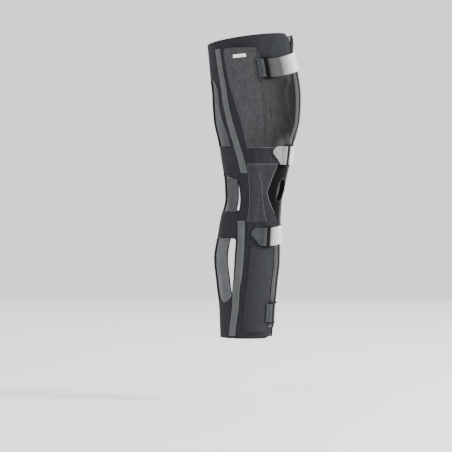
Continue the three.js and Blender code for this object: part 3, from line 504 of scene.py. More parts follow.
def thread_finish_of(name, code):
    """Spun polyester sewing thread: a soft twist and a low gloss."""
    finish, tree, shader = new_finish(name, 0.55, 0.2)
    place = add_node(tree, "ShaderNodeTexCoord").outputs["Object"]
    twist = add_node(tree, "ShaderNodeTexNoise", [(place, "Vector")],
                     [("Scale", per_metre(THREAD_TWIST)), ("Detail", 2)])
    add_node(tree, "ShaderNodeHueSaturation", [(twist, "Value")],
             [("Color", linear(code)), ("Saturation", 1)], feeds=shader.inputs["Base Color"])
    return finish


grey_thread = thread_finish_of("grey sewing thread", "8a8c90")
black_thread = thread_finish_of("black sewing thread", "232427")


GRAIN_WIDTH = 0.8
GRAIN_DEPTH = 0.06


def moulded_plastic():
    """Acetal rings: black, moulded with a fine spark-eroded grain."""
    finish, tree, shader = new_finish("black moulded acetal", 0.45, specular=0.08)
    place = add_node(tree, "ShaderNodeTexCoord").outputs["Object"]
    grain = add_node(tree, "ShaderNodeTexNoise", [(place, "Vector")],
                     [("Scale", per_metre(GRAIN_WIDTH)), ("Detail", 3)])
    join_finish(tree, shader, grain, [(0.3, "030303"), (0.7, "070708")], grain, 0.4, GRAIN_DEPTH)
    return finish


plastic_finish = moulded_plastic()

# Cutting and wrapping


def only(piece):
    bpy.ops.object.select_all(action="DESELECT")
    piece.select_set(True)
    bpy.context.view_layer.objects.active = piece


@contextmanager
def editing(piece):
    """Edit mode, with all of a piece selected."""
    only(piece)
    bpy.ops.object.mode_set(mode="EDIT")
    bpy.ops.mesh.select_all(action="SELECT")
    yield
    bpy.ops.object.mode_set(mode="OBJECT")


def vectors_of(items, what):
    """A vector of each vertex or polygon of a mesh."""
    flat = np.empty(len(items) * 3)
    items.foreach_get(what, flat)
    return flat.reshape(-1, 3)


def points_of(piece):
    return vectors_of(piece.data.vertices, "co")


def set_points(piece, points):
    piece.data.vertices.foreach_set("co", np.ascontiguousarray(points, float).ravel())
    piece.data.update()


def add_grid(name, columns, rows):
    """A square of cloth one unit wide, woven of even cells, with its corner at the origin."""
    bpy.ops.object.select_all(action="DESELECT")
    bpy.ops.mesh.primitive_grid_add(
        x_subdivisions=columns, y_subdivisions=rows, size=1, location=(0.5, 0.5, 0)
    )
    piece = bpy.context.object
    piece.name = name
    piece.data.name = name
    bpy.ops.object.transform_apply(location=True, rotation=False, scale=False)
    return piece


def set_uv(piece, flat):
    """Pattern coordinates in metres of flat cloth."""
    layer = piece.data.uv_layers[0]
    layer.name = "UVMap"
    corner = np.empty(len(piece.data.loops), int)
    piece.data.loops.foreach_get("vertex_index", corner)
    layer.data.foreach_set("uv", (flat[corner, :2] * MM).ravel())


def inside(outline, x, y):
    """Which points lie inside an outline."""
    found = np.zeros(len(x), bool)
    for (x0, y0), (x1, y1) in zip(outline, np.roll(outline, -1, axis=0)):
        crosses = (y0 > y) != (y1 > y)
        run = np.where(crosses, (x1 - x0) * (y - y0) / np.where(y1 == y0, 1, y1 - y0) + x0, 0)
        found ^= crosses & (x < run)
    return found


def nearest(outline, x, y):
    """The nearest points of an outline, and how far they are."""
    best = np.full(len(x), 1e9)
    found = np.stack([x, y], 1)
    here = np.stack([x, y], 1)
    for a, b in zip(outline, np.roll(outline, -1, axis=0)):
        along = b - a
        share = np.clip(((here - a) @ along) / max(along @ along, 1e-9), 0, 1)
        spot = a + share[:, None] * along
        far = np.linalg.norm(here - spot, axis=1)
        closer = far < best
        best[closer], found[closer] = far[closer], spot[closer]
    return found, best


def open_hole(piece, outline, cell):
    """Cuts a hole in flat cloth and draws its edge to the outline."""
    mesh = piece.data
    centre = vectors_of(mesh.polygons, "center")
    gone = inside(outline, centre[:, 0], centre[:, 1])
    with editing(piece):
        bpy.ops.mesh.select_mode(type="FACE")
        bpy.ops.mesh.select_all(action="DESELECT")
    mesh.polygons.foreach_set("select", gone)
    bpy.ops.object.mode_set(mode="EDIT")
    bpy.ops.mesh.delete(type="FACE")
    bpy.ops.object.mode_set(mode="OBJECT")
    uses = {}
    for polygon in mesh.polygons:
        for key in polygon.edge_keys:
            uses[key] = uses.get(key, 0) + 1
    edge = np.array(sorted({v for key, count in uses.items() if count == 1 for v in key}))
    points = points_of(piece)
    spot, far = nearest(outline, points[edge, 0], points[edge, 1])
    near = far < cell
    points[edge[near], :2] = spot[near]
    set_points(piece, points)


def cut_flat(name, columns, rows, place, holes=()):
    """Cloth cut flat: x is millimetres round the leg from the front, y is height."""
    piece = add_grid(name, columns, rows)
    share = points_of(piece)
    turn, height = place(share[:, 0], share[:, 1])
    flat = np.stack([turn * arc_per_degree(height), height + 0 * turn, 0 * turn], 1)
    set_points(piece, flat)
    for outline, cell in holes:
        open_hole(piece, outline, cell)
    return piece


def flat_area(piece):
    return sum(polygon.area for polygon in piece.data.polygons) * MM * MM


def wrap(piece, lift, relief=None):
    """Wraps flat cloth on the leg, at a lift over the laminate, with its own relief."""
    flat = points_of(piece)
    turn, height = flat[:, 0] / arc_per_degree(flat[:, 1]), flat[:, 1]
    out = lift + settle(turn, height)
    if relief:
        out = out + relief(turn, height)
    set_uv(piece, flat)
    set_points(piece, on_leg(turn, height, out))
    centre = vectors_of(piece.data.polygons, "center")
    normal = vectors_of(piece.data.polygons, "normal")
    outward = centre[:, :2] - [0, setback_at(0) * MM]
    if np.sum(outward * normal[:, :2]) < 0:
        with editing(piece):
            bpy.ops.mesh.flip_normals()


def thicken(piece, thickness, edge, lined=False, segments=2, crease=50, smooth_under=60):
    """Gives a flat piece its thickness and rounds its edges, in mm and degrees."""
    only(piece)
    wall = piece.modifiers.new("thickness", "SOLIDIFY")
    wall.thickness = thickness * MM
    wall.offset = 0
    wall.material_offset = 1 if lined else 0
    bpy.ops.object.modifier_apply(modifier=wall.name)
    roll = piece.modifiers.new("rolled edge", "BEVEL")
    roll.width = edge * MM
    roll.segments = segments
    roll.limit_method = "ANGLE"
    roll.angle_limit = math.radians(crease)
    bpy.ops.object.modifier_apply(modifier=roll.name)
    bpy.ops.object.shade_smooth_by_angle(angle=math.radians(smooth_under))


def dress(piece, finishes, stands_for=()):
    """Gives a piece its finishes, the nodes it stands for and what it rides on."""
    if not piece.data.materials:
        for finish in finishes:
            piece.data.materials.append(finish)
    if stands_for:
        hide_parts(*stands_for)
    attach(piece, "root")
    return piece


def flat_size(flat):
    low, high = flat.min(0), flat.max(0)
    return ((high[0] - low[0]) * MM, (high[1] - low[1]) * MM)


def sew(name, columns, rows, place, lift, thickness, finishes, node, relief=None,
        holes=(), edge=0.4, rests_on="posterior_thigh_panel"):
    """Cuts, wraps and finishes one cloth of the sleeve, which stands for its node or nodes."""
    piece = cut_flat(name, columns, rows, place, holes)
    area = flat_area(piece)
    size = flat_size(points_of(piece))
    wrap(piece, lift, relief)
    for finish in finishes:
        piece.data.materials.append(finish)
    thicken(piece, thickness, edge, lined=len(finishes) > 1)
    dress(piece, finishes, [node] if isinstance(node, str) else node)
    sheets.append((piece, size, area, rests_on))


def resample(turn, height, step, closed=False):
    """Evenly spaced places along a line on the leg."""
    turn, height = np.asarray(turn, float), np.asarray(height, float)
    if closed:
        turn, height = np.append(turn, turn[0]), np.append(height, height[0])
    x = turn * arc_per_degree(height)
    far = np.concatenate([[0], np.cumsum(np.hypot(np.diff(x), np.diff(height)))])
    count = max(2, int(round(far[-1] / step)))
    at = np.linspace(0, far[-1], count + 1)
    if closed:
        at = at[:-1]
    return np.interp(at, far, turn), np.interp(at, far, height)


def along_line(turn, height, lift, closed=False):
    """Places, directions and outward normals along a line on the leg."""
    out = lift + settle(turn, height)
    place = on_leg(turn, height, out)
    normal = on_leg(turn, height, out + 1) - place
    normal /= np.linalg.norm(normal, axis=1)[:, None]
    if closed:
        way = np.roll(place, -1, axis=0) - np.roll(place, 1, axis=0)
    else:
        way = np.gradient(place, axis=0)
    way /= np.linalg.norm(way, axis=1)[:, None]
    return place, way, normal


TAPE_STEP = 2.5
TAPE_SIDES = 12
TAPE_SQUARENESS = 0.7
HAIRPIN_SQUARENESS = 0.6


def squared(value, power):
    """A sine or cosine whose circle is drawn out towards a square."""
    return np.sign(value) * np.abs(value) ** power


def tape(name, turn, height, lift, size, finish, slot, closed=False):
    """Tape folded over an edge, or piping along a seam: a flat rounded section on a line."""
    width, depth = size
    turn, height = resample(turn, height, TAPE_STEP, closed)
    place, way, normal = along_line(turn, height, lift, closed)
    across = np.cross(normal, way)
    rows = len(turn) if closed else len(turn) - 1
    piece = add_grid(name, TAPE_SIDES, rows)
    share = points_of(piece)
    angle = share[:, 0] * 2 * math.pi
    row = np.rint(share[:, 1] * rows).astype(int) % len(turn)
    side = squared(np.cos(angle), TAPE_SQUARENESS) * width / 2 * MM
    up = squared(np.sin(angle), TAPE_SQUARENESS) * depth / 2 * MM
    flat = np.stack([share[:, 0] * 2 * (width + depth), share[:, 1] * rows * TAPE_STEP, up], 1)
    set_uv(piece, flat)
    set_points(piece, place[row] + across[row] * side[:, None] + normal[row] * up[:, None])
    with editing(piece):
        bpy.ops.mesh.select_mode(type="VERT")
        bpy.ops.mesh.remove_doubles(threshold=0.00001)
        if not closed:
            bpy.ops.mesh.fill_holes(sides=0)
        bpy.ops.mesh.normals_make_consistent(inside=False)
    bpy.ops.object.shade_smooth_by_angle(angle=math.radians(70))
    return dress(piece, [finish])


def one_stitch():
    """One stitch modelled once: a short round bar of thread, its ends drawn down."""
    bpy.ops.object.select_all(action="DESELECT")
    bpy.ops.mesh.primitive_uv_sphere_add(segments=6, ring_count=4, radius=1)
    stitch = bpy.context.object
    points = points_of(stitch)
    faces = [tuple(polygon.vertices) for polygon in stitch.data.polygons]
    bpy.data.objects.remove(stitch)
    return points[:, [2, 0, 1]], faces


STITCH_LENGTH = 3.2
STITCH_PITCH = 4.2
THREAD_RADIUS = 0.34
stitch_points, stitch_faces = one_stitch()


def stitch_rows(name, lines, finish):
    """Rows of stitches: one mesh of copies of the stitch along lines on the leg."""
    all_points, all_faces = [], []
    for turn, height, lift in lines:
        turn, height = resample(turn, height, STITCH_PITCH)
        place, way, normal = along_line(turn, height, lift)
        across = np.cross(normal, way)
        for p, t, s, n in zip(place, way, across, normal):
            start = len(all_points) * len(stitch_points)
            body = (
                p
                + stitch_points[:, :1] * t * STITCH_LENGTH / 2 * MM
                + stitch_points[:, 1:2] * s * THREAD_RADIUS * MM
                + stitch_points[:, 2:] * n * THREAD_RADIUS * MM
            )
            all_points.append(body)
            all_faces += [tuple(start + v for v in face) for face in stitch_faces]
    mesh = bpy.data.meshes.new(name)
    mesh.from_pydata(np.concatenate(all_points).tolist(), [], all_faces)
    piece = bpy.data.objects.new(name, mesh)
    bpy.context.scene.collection.objects.link(piece)
    with editing(piece):
        bpy.ops.mesh.normals_make_consistent(inside=False)
    bpy.ops.object.shade_smooth()
    return dress(piece, [finish])


def upright(line, low, high, offset=0.0, side=1, count=60):
    """A line up the leg, set off from a seam by millimetres towards the back."""
    height = np.linspace(low, high, count)
    return side * (line(height) + degrees(offset, height)), height


def level(height, rear, front, side=1, count=30):
    """A line round the leg at one height."""
    return side * np.linspace(rear, front, count), np.full(count, float(height))


def groove(turn, height, line, depth=0.6, reach=1.6):
    """The dip that a row of stitches pulls into thick cloth."""
    far = (np.abs(turn) - line(height)) * arc_per_degree(height)
    return -depth * np.exp(-((far / reach) ** 2))


sheets = []

# Laminate of the two sides and of the back

SIDE_BUTT = 0.15
FRONT_CROWDING = 1.25


def side_place(side):
    def place(u, v):
        nominal = mix(-CALF_REACH, THIGH_REACH, v)
        rear = side * (window_line(nominal) - degrees(SIDE_BUTT, nominal))
        front = front_edge(side, nominal)
        # columns crowd towards the round front corner
        share = 1 - (1 - u) ** FRONT_CROWDING
        turn = mix(rear, front, share)
        from_front = np.abs(turn - front) * arc_per_degree(nominal)
        return turn, rimmed(nominal, turn, from_front)

    return place


def back_place(u, v):
    nominal = mix(-CALF_REACH, THIGH_REACH, v)
    line = window_line(nominal)
    turn = mix(line, 360 - line, u)
    return turn, rimmed(nominal, turn, CORNER_RADIUS + 0 * turn)


def window_outline(side, window):
    """A window's edge as turns and heights, from its front bottom corner up and round."""
    _, top_front, top_rear, bottom, top_radius, bottom_radius = window
    share = (1 - np.cos(np.linspace(0, math.pi, 60))) / 2

    def edge(top, line):
        height = mix(bottom, top, share)
        inset = corner_drop(top - height, top_radius) + corner_drop(height - bottom, bottom_radius)
        return line(height, degrees(inset, height)), height

    front = edge(top_front, lambda h, inset: window_line(h) + inset)
    rear = edge(top_rear, lambda h, inset: 180 - degrees(BACK_STRIP_WIDTH / 2, h) - inset)
    turn = np.concatenate([front[0], rear[0][::-1]])
    height = np.concatenate([front[1], rear[1][::-1]])
    return (turn if side > 0 else 360 - turn), height


for side, word in SIDES:
    sew(f"{word}_laminate", 84, 232, side_place(side), -LAMINATE / 2, LAMINATE,
        [laminate_finish, lining_finish],
        [f"{word}_{section}_shell" for section in ("thigh", "knee", "calf")], edge=0.7)

# Reach in mm within which a cut cloth's edge is drawn to the outline of its hole
BACK_CELL = 3.2
INSERT_CELL = 2.6
WINDOW_OVERCUT = 4.0

holes, window_edges = [], []
for side in (1, -1):
    for window in WINDOWS:
        turn, height = window_outline(side, window)
        x = turn * arc_per_degree(height)
        # past the front edge of the window the cloth is the side shell's, so all of this goes
        at_front = np.abs(turn - 180) > 180 - window_line(height) - 0.01
        spare = np.where(at_front, WINDOW_OVERCUT, 0.0)
        outline = np.stack([x - side * spare, height], 1)
        holes.append((outline, BACK_CELL))
        window_edges.append((side, window[0], turn, height))

sew("back_laminate", 132, 232, back_place, -LAMINATE / 2, LAMINATE,
    [laminate_finish, lining_finish],
    [f"posterior_{section}_panel" for section in ("thigh", "knee", "calf")], holes=holes,
    edge=0.7, rests_on="lateral_thigh_shell")

FRONT_POINTS = 500
RIM_POINTS = 160
trim = {"lateral_laminate": [], "medial_laminate": [], "back_laminate": []}
for side, name, turn, height in window_edges:
    word = "lateral" if side > 0 else "medial"
    trim["back_laminate"].append(
        tape(f"{word}_{name}_window_binding", turn, height, -LAMINATE / 2, WINDOW_TAPE,
             binding_finish, "laminate", closed=True)
    )

for side, word in SIDES:
    place = side_place(side)
    turn, height = place(np.ones(FRONT_POINTS), np.linspace(0, 1, FRONT_POINTS))
    in_notch = (height > -NOTCH_BOTTOM) & (height < NOTCH_TOP)
    trim[f"{word}_laminate"].append(
        tape(f"{word}_notch_binding", turn[in_notch], height[in_notch], -LAMINATE / 2,
             NOTCH_TAPE, piping_finish, "tab")
    )
    # the bindings of the rims run on down or up the front to the notch
    over = np.linspace(0.02, 1, RIM_POINTS)
    for end, rim, front in (
        ("upper", np.ones(RIM_POINTS), np.flatnonzero(height >= NOTCH_TOP)[::-1]),
        ("lower", np.zeros(RIM_POINTS), np.flatnonzero(height <= -NOTCH_BOTTOM)),
    ):
        rim_turn, rim_height = place(over, rim)
        path = (np.concatenate([rim_turn, turn[front[1:]]]),
                np.concatenate([rim_height, height[front[1:]]]))
        trim[f"{word}_laminate"].append(
            tape(f"{word}_{end}_binding", *path, -LAMINATE / 2, RIM_TAPE, binding_finish,
                 "laminate")
        )
for word, share in (("upper", 1), ("lower", 0)):
    turn, height = back_place(np.linspace(0.01, 0.99, 200), np.full(200, float(share)))
    trim["back_laminate"].append(
        tape(f"back_{word}_binding", turn, height, -LAMINATE / 2, RIM_TAPE, binding_finish,
             "laminate")
    )

# Stretch insert with its opening for the kneecap


def insert_place(u, v):
    height = mix(-1.06 * NOTCH_BOTTOM, 0.94 * NOTCH_TOP, v)
    reach = NOTCH_TURN + degrees(10, height)
    return mix(reach, -reach, u), height


def insert_relief(turn, height):
    """The knit stands forward over the kneecap and under it."""
    out = 4.2 * np.exp(-(((turn - 8) / 26) ** 2) - ((height + 52) / 26) ** 2)
    return out + 1.1 * np.exp(-((turn / 30) ** 2) - ((height - 8) / 40) ** 2)


oval = np.linspace(0, 2 * math.pi, 80, endpoint=False)
oval_height = OPENING_HEIGHT / 2 * np.sin(oval)
oval_turn = OPENING_TURN + degrees(OPENING_WIDTH / 2 * np.cos(oval), oval_height)
oval_flat = np.stack([oval_turn * arc_per_degree(oval_height), oval_height], 1)
sew("patella_insert_knit", 66, 100, insert_place, -LAMINATE - 1.2, INSERT_CLOTH,
    [stretch_finish], "patella_insert", relief=insert_relief,
    holes=[(oval_flat, INSERT_CELL)], edge=0.4, rests_on="lateral_knee_shell")
trim["patella_insert_knit"] = [
    tape("kneecap_opening_binding", oval_turn, oval_height, -LAMINATE - 0.3, OPENING_TAPE,
         binding_finish, "stretch", closed=True)
]

# Velour, loop bands and webbing of the two sides

POCKET_TOP = 0.905 * THIGH_REACH
FLAP_TOP = 0.775 * THIGH_REACH
THIGH_PANEL_BOTTOM = 0.272 * THIGH_REACH
KNEE_PANEL_TOP = 0.168 * THIGH_REACH
KNEE_PANEL_BOTTOM = -0.215 * CALF_REACH
CALF_PANEL_TOP = -0.375 * CALF_REACH
CALF_PANEL_BOTTOM = -0.96 * CALF_REACH
thigh_rear = curve(THIGH_PANEL_REAR)
knee_rear = curve(KNEE_PANEL_REAR)
calf_rear = curve(CALF_PANEL_REAR)
thigh_channel_line = curve(THIGH_CHANNEL_LINE)
calf_channel_line = curve(CALF_CHANNEL_LINE)


def beside_edge(side, inset=PANEL_MARGIN):
    """A line up the leg, millimetres behind a side's front edge."""
    return lambda height: side * front_edge(side, height) + degrees(inset, height)


def beside_channel(side, inset):
    return beside_edge(side, inset + CHANNEL_WIDTH + 2 * PANEL_MARGIN)


POCKET_CORNER_RADIUS = 12


def thigh_panel_place(side):
    front = beside_channel(side, THIGH_CHANNEL_INSET)

    def place(u, v):
        nominal = mix(THIGH_PANEL_BOTTOM, POCKET_TOP, v)
        width = (thigh_rear(nominal) - front(nominal)) * arc_per_degree(nominal)
        pocket = 0.5
        corners = corner_drop(u * width, POCKET_CORNER_RADIUS)
        corners = corners + corner_drop(np.abs(pocket - u) * width, POCKET_CORNER_RADIUS)
        step_down = (POCKET_TOP - FLAP_TOP) * smooth((u - pocket) / 0.02)
        drop = np.where(u > pocket, np.maximum(corners, step_down), corners)
        turn = mix(thigh_rear(nominal), front(nominal), u)
        return side * turn, mix(THIGH_PANEL_BOTTOM, POCKET_TOP - drop, v)

    return place


def thigh_relief(turn, height):
    """The pocket stands up over its wide stay, between its two seams."""
    around = np.abs(turn)
    rear = (thigh_rear(height) - around) * arc_per_degree(height)
    front = (around - pocket_seam(height)) * arc_per_degree(height)
    swell = 1.1 * smooth((rear - 3) / 12) * smooth((front - 1) / 12)
    seam = groove(turn, height, pocket_seam, 0.7)
    edge = -0.35 * np.exp(-(((rear - 2.5) / 1.4) ** 2))
    hem = -0.4 * np.exp(-(((height - THIGH_PANEL_BOTTOM - 3) / 1.6) ** 2))
    return swell + seam + edge + hem


def panel_place(side, bottom, top, rear, front, low_radius=0.0):
    def place(u, v):
        nominal = mix(bottom, top, v)
        turn = mix(rear(nominal), front(nominal), u)
        drop = 0
        if low_radius:
            rear_far = np.abs(turn - rear(nominal)) * arc_per_degree(nominal)
            front_far = np.abs(turn - front(nominal)) * arc_per_degree(nominal)
            drop = corner_drop(rear_far, low_radius) + corner_drop(front_far, 0.7 * low_radius)
        return side * turn, mix(bottom + drop, top, v)

    return place


def knee_relief(turn, height):
    """Seams and the gathers that they take up at the bend of the knee."""
    around = np.abs(turn)
    seams = groove(turn, height, pocket_seam, 0.5) + groove(turn, height, knee_front_seam, 0.6)
    between = (around - pocket_seam(height)) * arc_per_degree(height)
    gather = np.exp(-(((between - 5) / 6) ** 2)) * smooth((30 - height) / 30)
    gather = gather * smooth((height + 66) / 20)
    plain = 0.6 * np.sin(height * 2 * math.pi / 11) * gather
    rear = (knee_rear(height) - around) * arc_per_degree(height)
    return seams + plain + 0.8 * smooth((rear - 2) / 8) * smooth((between - 2) / 8)


def calf_relief(turn, height):
    around = np.abs(turn)
    rear = (calf_rear(height) - around) * arc_per_degree(height)
    low = height - CALF_PANEL_BOTTOM
    hem = -0.4 * np.exp(-(((rear - 2.6) / 1.5) ** 2)) - 0.4 * np.exp(-(((low - 2.6) / 1.5) ** 2))
    return hem + 0.7 * smooth((rear - 5) / 14)


CHANNEL_STITCH_INSET = 1.6


def channel_cloth(name, side, bottom, top, line, node):
    """Webbing sewn down at both edges over a stay, which crowns it."""

    def place(u, v):
        height = mix(bottom, top, v)
        half = degrees(CHANNEL_WIDTH / 2, height)
        return side * (line(height) + half * (1 - 2 * u)), height

    def relief(turn, height):
        around = np.where(np.abs(turn) > 180, 360 - np.abs(turn), np.abs(turn))
        far = (around - line(height)) * arc_per_degree(height) / (CHANNEL_WIDTH / 2)
        ends = smooth((height - bottom) / 8) * smooth((top - height) / 8)
        return CHANNEL_CROWN * (1 - smooth((np.abs(far) - 0.35) / 0.5)) * ends

    rows = max(40, int((top - bottom) / 2.6))
    sew(name, 12, rows, place, CHANNEL_LIFT, CHANNEL_CLOTH, [webbing_finish], node,
        relief=relief, edge=0.35)
    low, high = bottom + 2, top - 2
    height = np.linspace(low, high, 80)
    lift = CHANNEL_LIFT + CHANNEL_CLOTH / 2 + 0.15
    inset = CHANNEL_WIDTH / 2 - CHANNEL_STITCH_INSET
    lines = [(side * (line(height) + way * degrees(inset, height)), height, lift)
             for way in (-1, 1)]
    for end in (low, high):
        half, middle = float(degrees(inset, end)), float(line(np.array(end)))
        lines.append((*level(end, middle - half, middle + half, side, 8), lift))
    trim[name] = [stitch_rows(f"{name}_stitches", lines, grey_thread)]


PANEL_FACE = PANEL_LIFT + VELOUR / 2
CLOTH_GAP = 0.5
SEAM_INSET = 2.5
LOWER_LOOP_REAR = 70
CALF_CORNER_RADIUS = 14

for side, word in SIDES:
    front = beside_edge(side)
    calf_front = beside_channel(side, CALF_CHANNEL_INSET)
    for name, columns, rows, place, finish, slot, node, relief, section in (
        ("thigh_velour", 120, 96, thigh_panel_place(side), velour_finish, "velour",
         "thigh_panel", thigh_relief, "thigh"),
        ("upper_loop", 64, 18,
         panel_place(side, KNEE_PANEL_TOP, THIGH_PANEL_BOTTOM - CLOTH_GAP, knee_rear, front),
         loop_finish, "loop", "upper_loop_band", None, "knee"),
        ("knee_velour", 44, 84,
         panel_place(side, KNEE_PANEL_BOTTOM, KNEE_PANEL_TOP - CLOTH_GAP, knee_rear, front),
         knee_finish, "velour", "knee_panel", knee_relief, "knee"),
        ("lower_loop", 64, 24,
         panel_place(side, CALF_PANEL_TOP, KNEE_PANEL_BOTTOM - CLOTH_GAP,
                     lambda height: LOWER_LOOP_REAR + 0 * height, front),
         loop_finish, "loop", "lower_loop_band", None, "knee"),
        ("calf_velour", 60, 84,
         panel_place(side, CALF_PANEL_BOTTOM, CALF_PANEL_TOP - CLOTH_GAP, calf_rear, calf_front,
                     CALF_CORNER_RADIUS),
         calf_finish, "velour", "calf_panel", calf_relief, "calf"),
    ):
        sew(f"{word}_{name}", columns, rows, place, PANEL_LIFT, VELOUR, [finish],
            f"{word}_{node}", relief, rests_on=f"{word}_{section}_shell")
    thigh_front = beside_edge(side, THIGH_CHANNEL_INSET + CHANNEL_WIDTH / 2)
    calf_front = beside_edge(side, CALF_CHANNEL_INSET + CHANNEL_WIDTH / 2)
    for name, bottom, top, line in (
        ("thigh_rear", 0.11 * THIGH_REACH, 0.9 * THIGH_REACH, thigh_channel_line),
        ("calf_rear", -0.985 * CALF_REACH, -0.205 * CALF_REACH, calf_channel_line),
        ("thigh_front", NOTCH_TOP, 0.78 * THIGH_REACH, thigh_front),
        ("calf_front", -0.93 * CALF_REACH, CALF_PANEL_TOP - CLOTH_GAP, calf_front),
    ):
        node = f"{word}_{name}_channel".replace("_rear", "")
        channel_cloth(f"{word}_{name}_webbing", side, bottom, top, line, node)

    # seams: rows of stitches just inside each edge, and piping where velour meets loop fabric
    lift = PANEL_FACE
    rear_top = float(thigh_rear(np.array(POCKET_TOP)))
    pocket_end = POCKET_TOP - POCKET_CORNER_RADIUS
    lines = [
        (*upright(thigh_rear, THIGH_PANEL_BOTTOM + 2, pocket_end, -SEAM_INSET, side), lift - 0.2),
        (*upright(pocket_seam, THIGH_PANEL_BOTTOM, pocket_end, 0, side), lift - 0.5),
        (*level(POCKET_TOP - 3, rear_top - 10, 66, side), lift + 0.4),
        (*upright(knee_rear, KNEE_PANEL_BOTTOM + 2, THIGH_PANEL_BOTTOM, -SEAM_INSET, side), lift),
        (*upright(pocket_seam, KNEE_PANEL_BOTTOM + 2, KNEE_PANEL_TOP, 0, side), lift - 0.3),
        (*upright(calf_rear, CALF_PANEL_BOTTOM + CALF_CORNER_RADIUS, CALF_PANEL_TOP, -2.6, side),
         lift - 0.2),
        (*level(CALF_PANEL_BOTTOM + 3, 58, 30, side), lift - 0.2),
    ]
    trim[f"{word}_thigh_velour"] = [
        stitch_rows(f"{word}_seam_stitches", lines, black_thread)
    ]
    trim[f"{word}_thigh_velour"] += [
        tape(f"{word}_{name}_piping", *line, lift, size, finish, "tab")
        for name, line, lift, size, finish in (
            ("thigh", level(THIGH_PANEL_BOTTOM - 0.2, 79.5, float(front(90.0)), side),
             PANEL_FACE, LEVEL_PIPING, piping_finish),
            ("knee", level(KNEE_PANEL_TOP - 0.2, 79.5, float(front(55.0)), side),
             PANEL_FACE, LEVEL_PIPING, piping_finish),
            ("calf", level(KNEE_PANEL_BOTTOM - 0.2, 69, float(front(-66.0)), side),
             PANEL_FACE, LEVEL_PIPING, binding_finish),
            ("knee_seam",
             upright(knee_front_seam, KNEE_PANEL_BOTTOM + 1, KNEE_PANEL_TOP - 1, 0, side),
             PANEL_FACE - 0.2, SEAM_PIPING, piping_finish),
            ("knee_rear", upright(knee_rear, KNEE_PANEL_BOTTOM, KNEE_PANEL_TOP, 0.8, side),
             PANEL_LIFT, REAR_PIPING, piping_finish),
        )
    ]

channel_cloth("back_webbing", 1, -0.95 * CALF_REACH, 0.87 * THIGH_REACH,
              lambda height: 180 + 0 * height, "posterior_channel")

# Straps, tabs and rings

RING_HALF_PITCH = RING_BRIDGE / 2 + RING_SLOT + RING_BAR / 2
RING_WIDTH = RING_BRIDGE + 2 * (RING_SLOT + RING_BAR)
LIFT_BLEND = 16
RETURN_BLEND = 14
TAB_BLEND = 6
TAB_CLOSE = 0.8
RISE_TURNS = 70
RING_CORNER_DRAW = [0.93, 0.975, 1]
RING_SLOT_PLAY = 0.6
BELT_COLUMNS = 14
TAB_STITCH_INSET = 2.5
BOX_INSET = 3
# The box of stitches and its diagonal: which turn and which height each line joins
BOX_LINES = [
    ([0, 1], [0, 0]), ([0, 1], [1, 1]), ([0, 0], [0, 1]), ([1, 1], [0, 1]), ([0, 1], [0, 1]),
]


def strap_height(strap, arc):
    _, height, rise, ring_turn, *_ = strap
    return height + rise * smooth((ring_turn - arc / arc_per_degree(height)) / RISE_TURNS)


def hairpin(bar_arc, seat, cloth, way):
    """Cloth round a bar, from the lower layer to the upper."""
    high = seat + cloth + 2 * RING_CLEARANCE + RING_THICKNESS + cloth / 2
    low = seat + cloth / 2
    radius = (high - low) / 2
    stretch = RING_BAR / 2 + RING_CLEARANCE + cloth / 2
    angle = np.linspace(-math.pi / 2, math.pi / 2, 13)
    arc = bar_arc + way * squared(np.clip(np.cos(angle), 0, 1), HAIRPIN_SQUARENESS) * stretch
    return arc, (low + high) / 2 + squared(np.sin(angle), HAIRPIN_SQUARENESS) * radius


def run(start, end, lift_at, step=3.0):
    count = max(2, int(abs(end - start) / step))
    arc = np.linspace(start, end, count)
    return arc, lift_at(arc)


def joined(*parts):
    """One path, as arcs and lifts, from its parts."""
    return np.concatenate(parts, axis=1)


def strap_path(strap):
    """Sewn down on the inner side, over the front, round the bar and back on itself."""
    _, height, _, ring_turn, seat, *_ = strap
    per_degree = arc_per_degree(height)
    bar_arc = ring_turn * per_degree - RING_HALF_PITCH
    half = STRAP_CLOTH / 2
    channel_edge = FRONT_GAP_TURN * per_degree - FRONT_GAP / 2 - CALF_CHANNEL_INSET
    channel_edge -= CHANNEL_WIDTH + 0.6

    def lower(arc):
        raised = mix(CHANNEL_SEAT, PANEL_SEAT, smooth((channel_edge - arc) / LIFT_BLEND))
        return mix(raised, seat, smooth(1 - (bar_arc - arc) / LIFT_BLEND)) + half

    top = seat + STRAP_CLOTH + 2 * RING_CLEARANCE + RING_THICKNESS + half

    def upper(arc):
        resting = lower(arc) + STRAP_CLOTH + 0.3
        return mix(top, resting, smooth((bar_arc - RING_BAR - arc) / RETURN_BLEND))

    end_arc = STRAP_END_TURN * per_degree
    return_arc = max(bar_arc - STRAP_RETURN, end_arc + STRAP_SEWN)
    return joined(
        run(end_arc, bar_arc - RING_BAR, lower),
        hairpin(bar_arc, seat, STRAP_CLOTH, 1),
        run(bar_arc - RING_BAR, return_arc, upper),
    )


def tab_path(strap):
    """Two layers sewn to the outer side and wrapped round the ring's other bar."""
    _, height, _, ring_turn, seat, tab_length, _ = strap
    bar_arc = ring_turn * arc_per_degree(height) + RING_HALF_PITCH
    tip = bar_arc + tab_length
    half = TAB_CLOTH / 2
    top = seat + TAB_CLOTH + 2 * RING_CLEARANCE + RING_THICKNESS + half
    resting = seat + TAB_CLOTH + 0.3 + half
    arc, lift = joined(
        run(tip, bar_arc + RING_BAR, lambda arc: seat + half + 0 * arc, 1.5),
        hairpin(bar_arc, seat, TAB_CLOTH, -1),
        run(bar_arc + RING_BAR, tip,
            lambda arc: mix(top, resting, smooth((arc - bar_arc - RING_BAR) / TAB_BLEND)), 1.5),
    )
    return arc, lift, tip


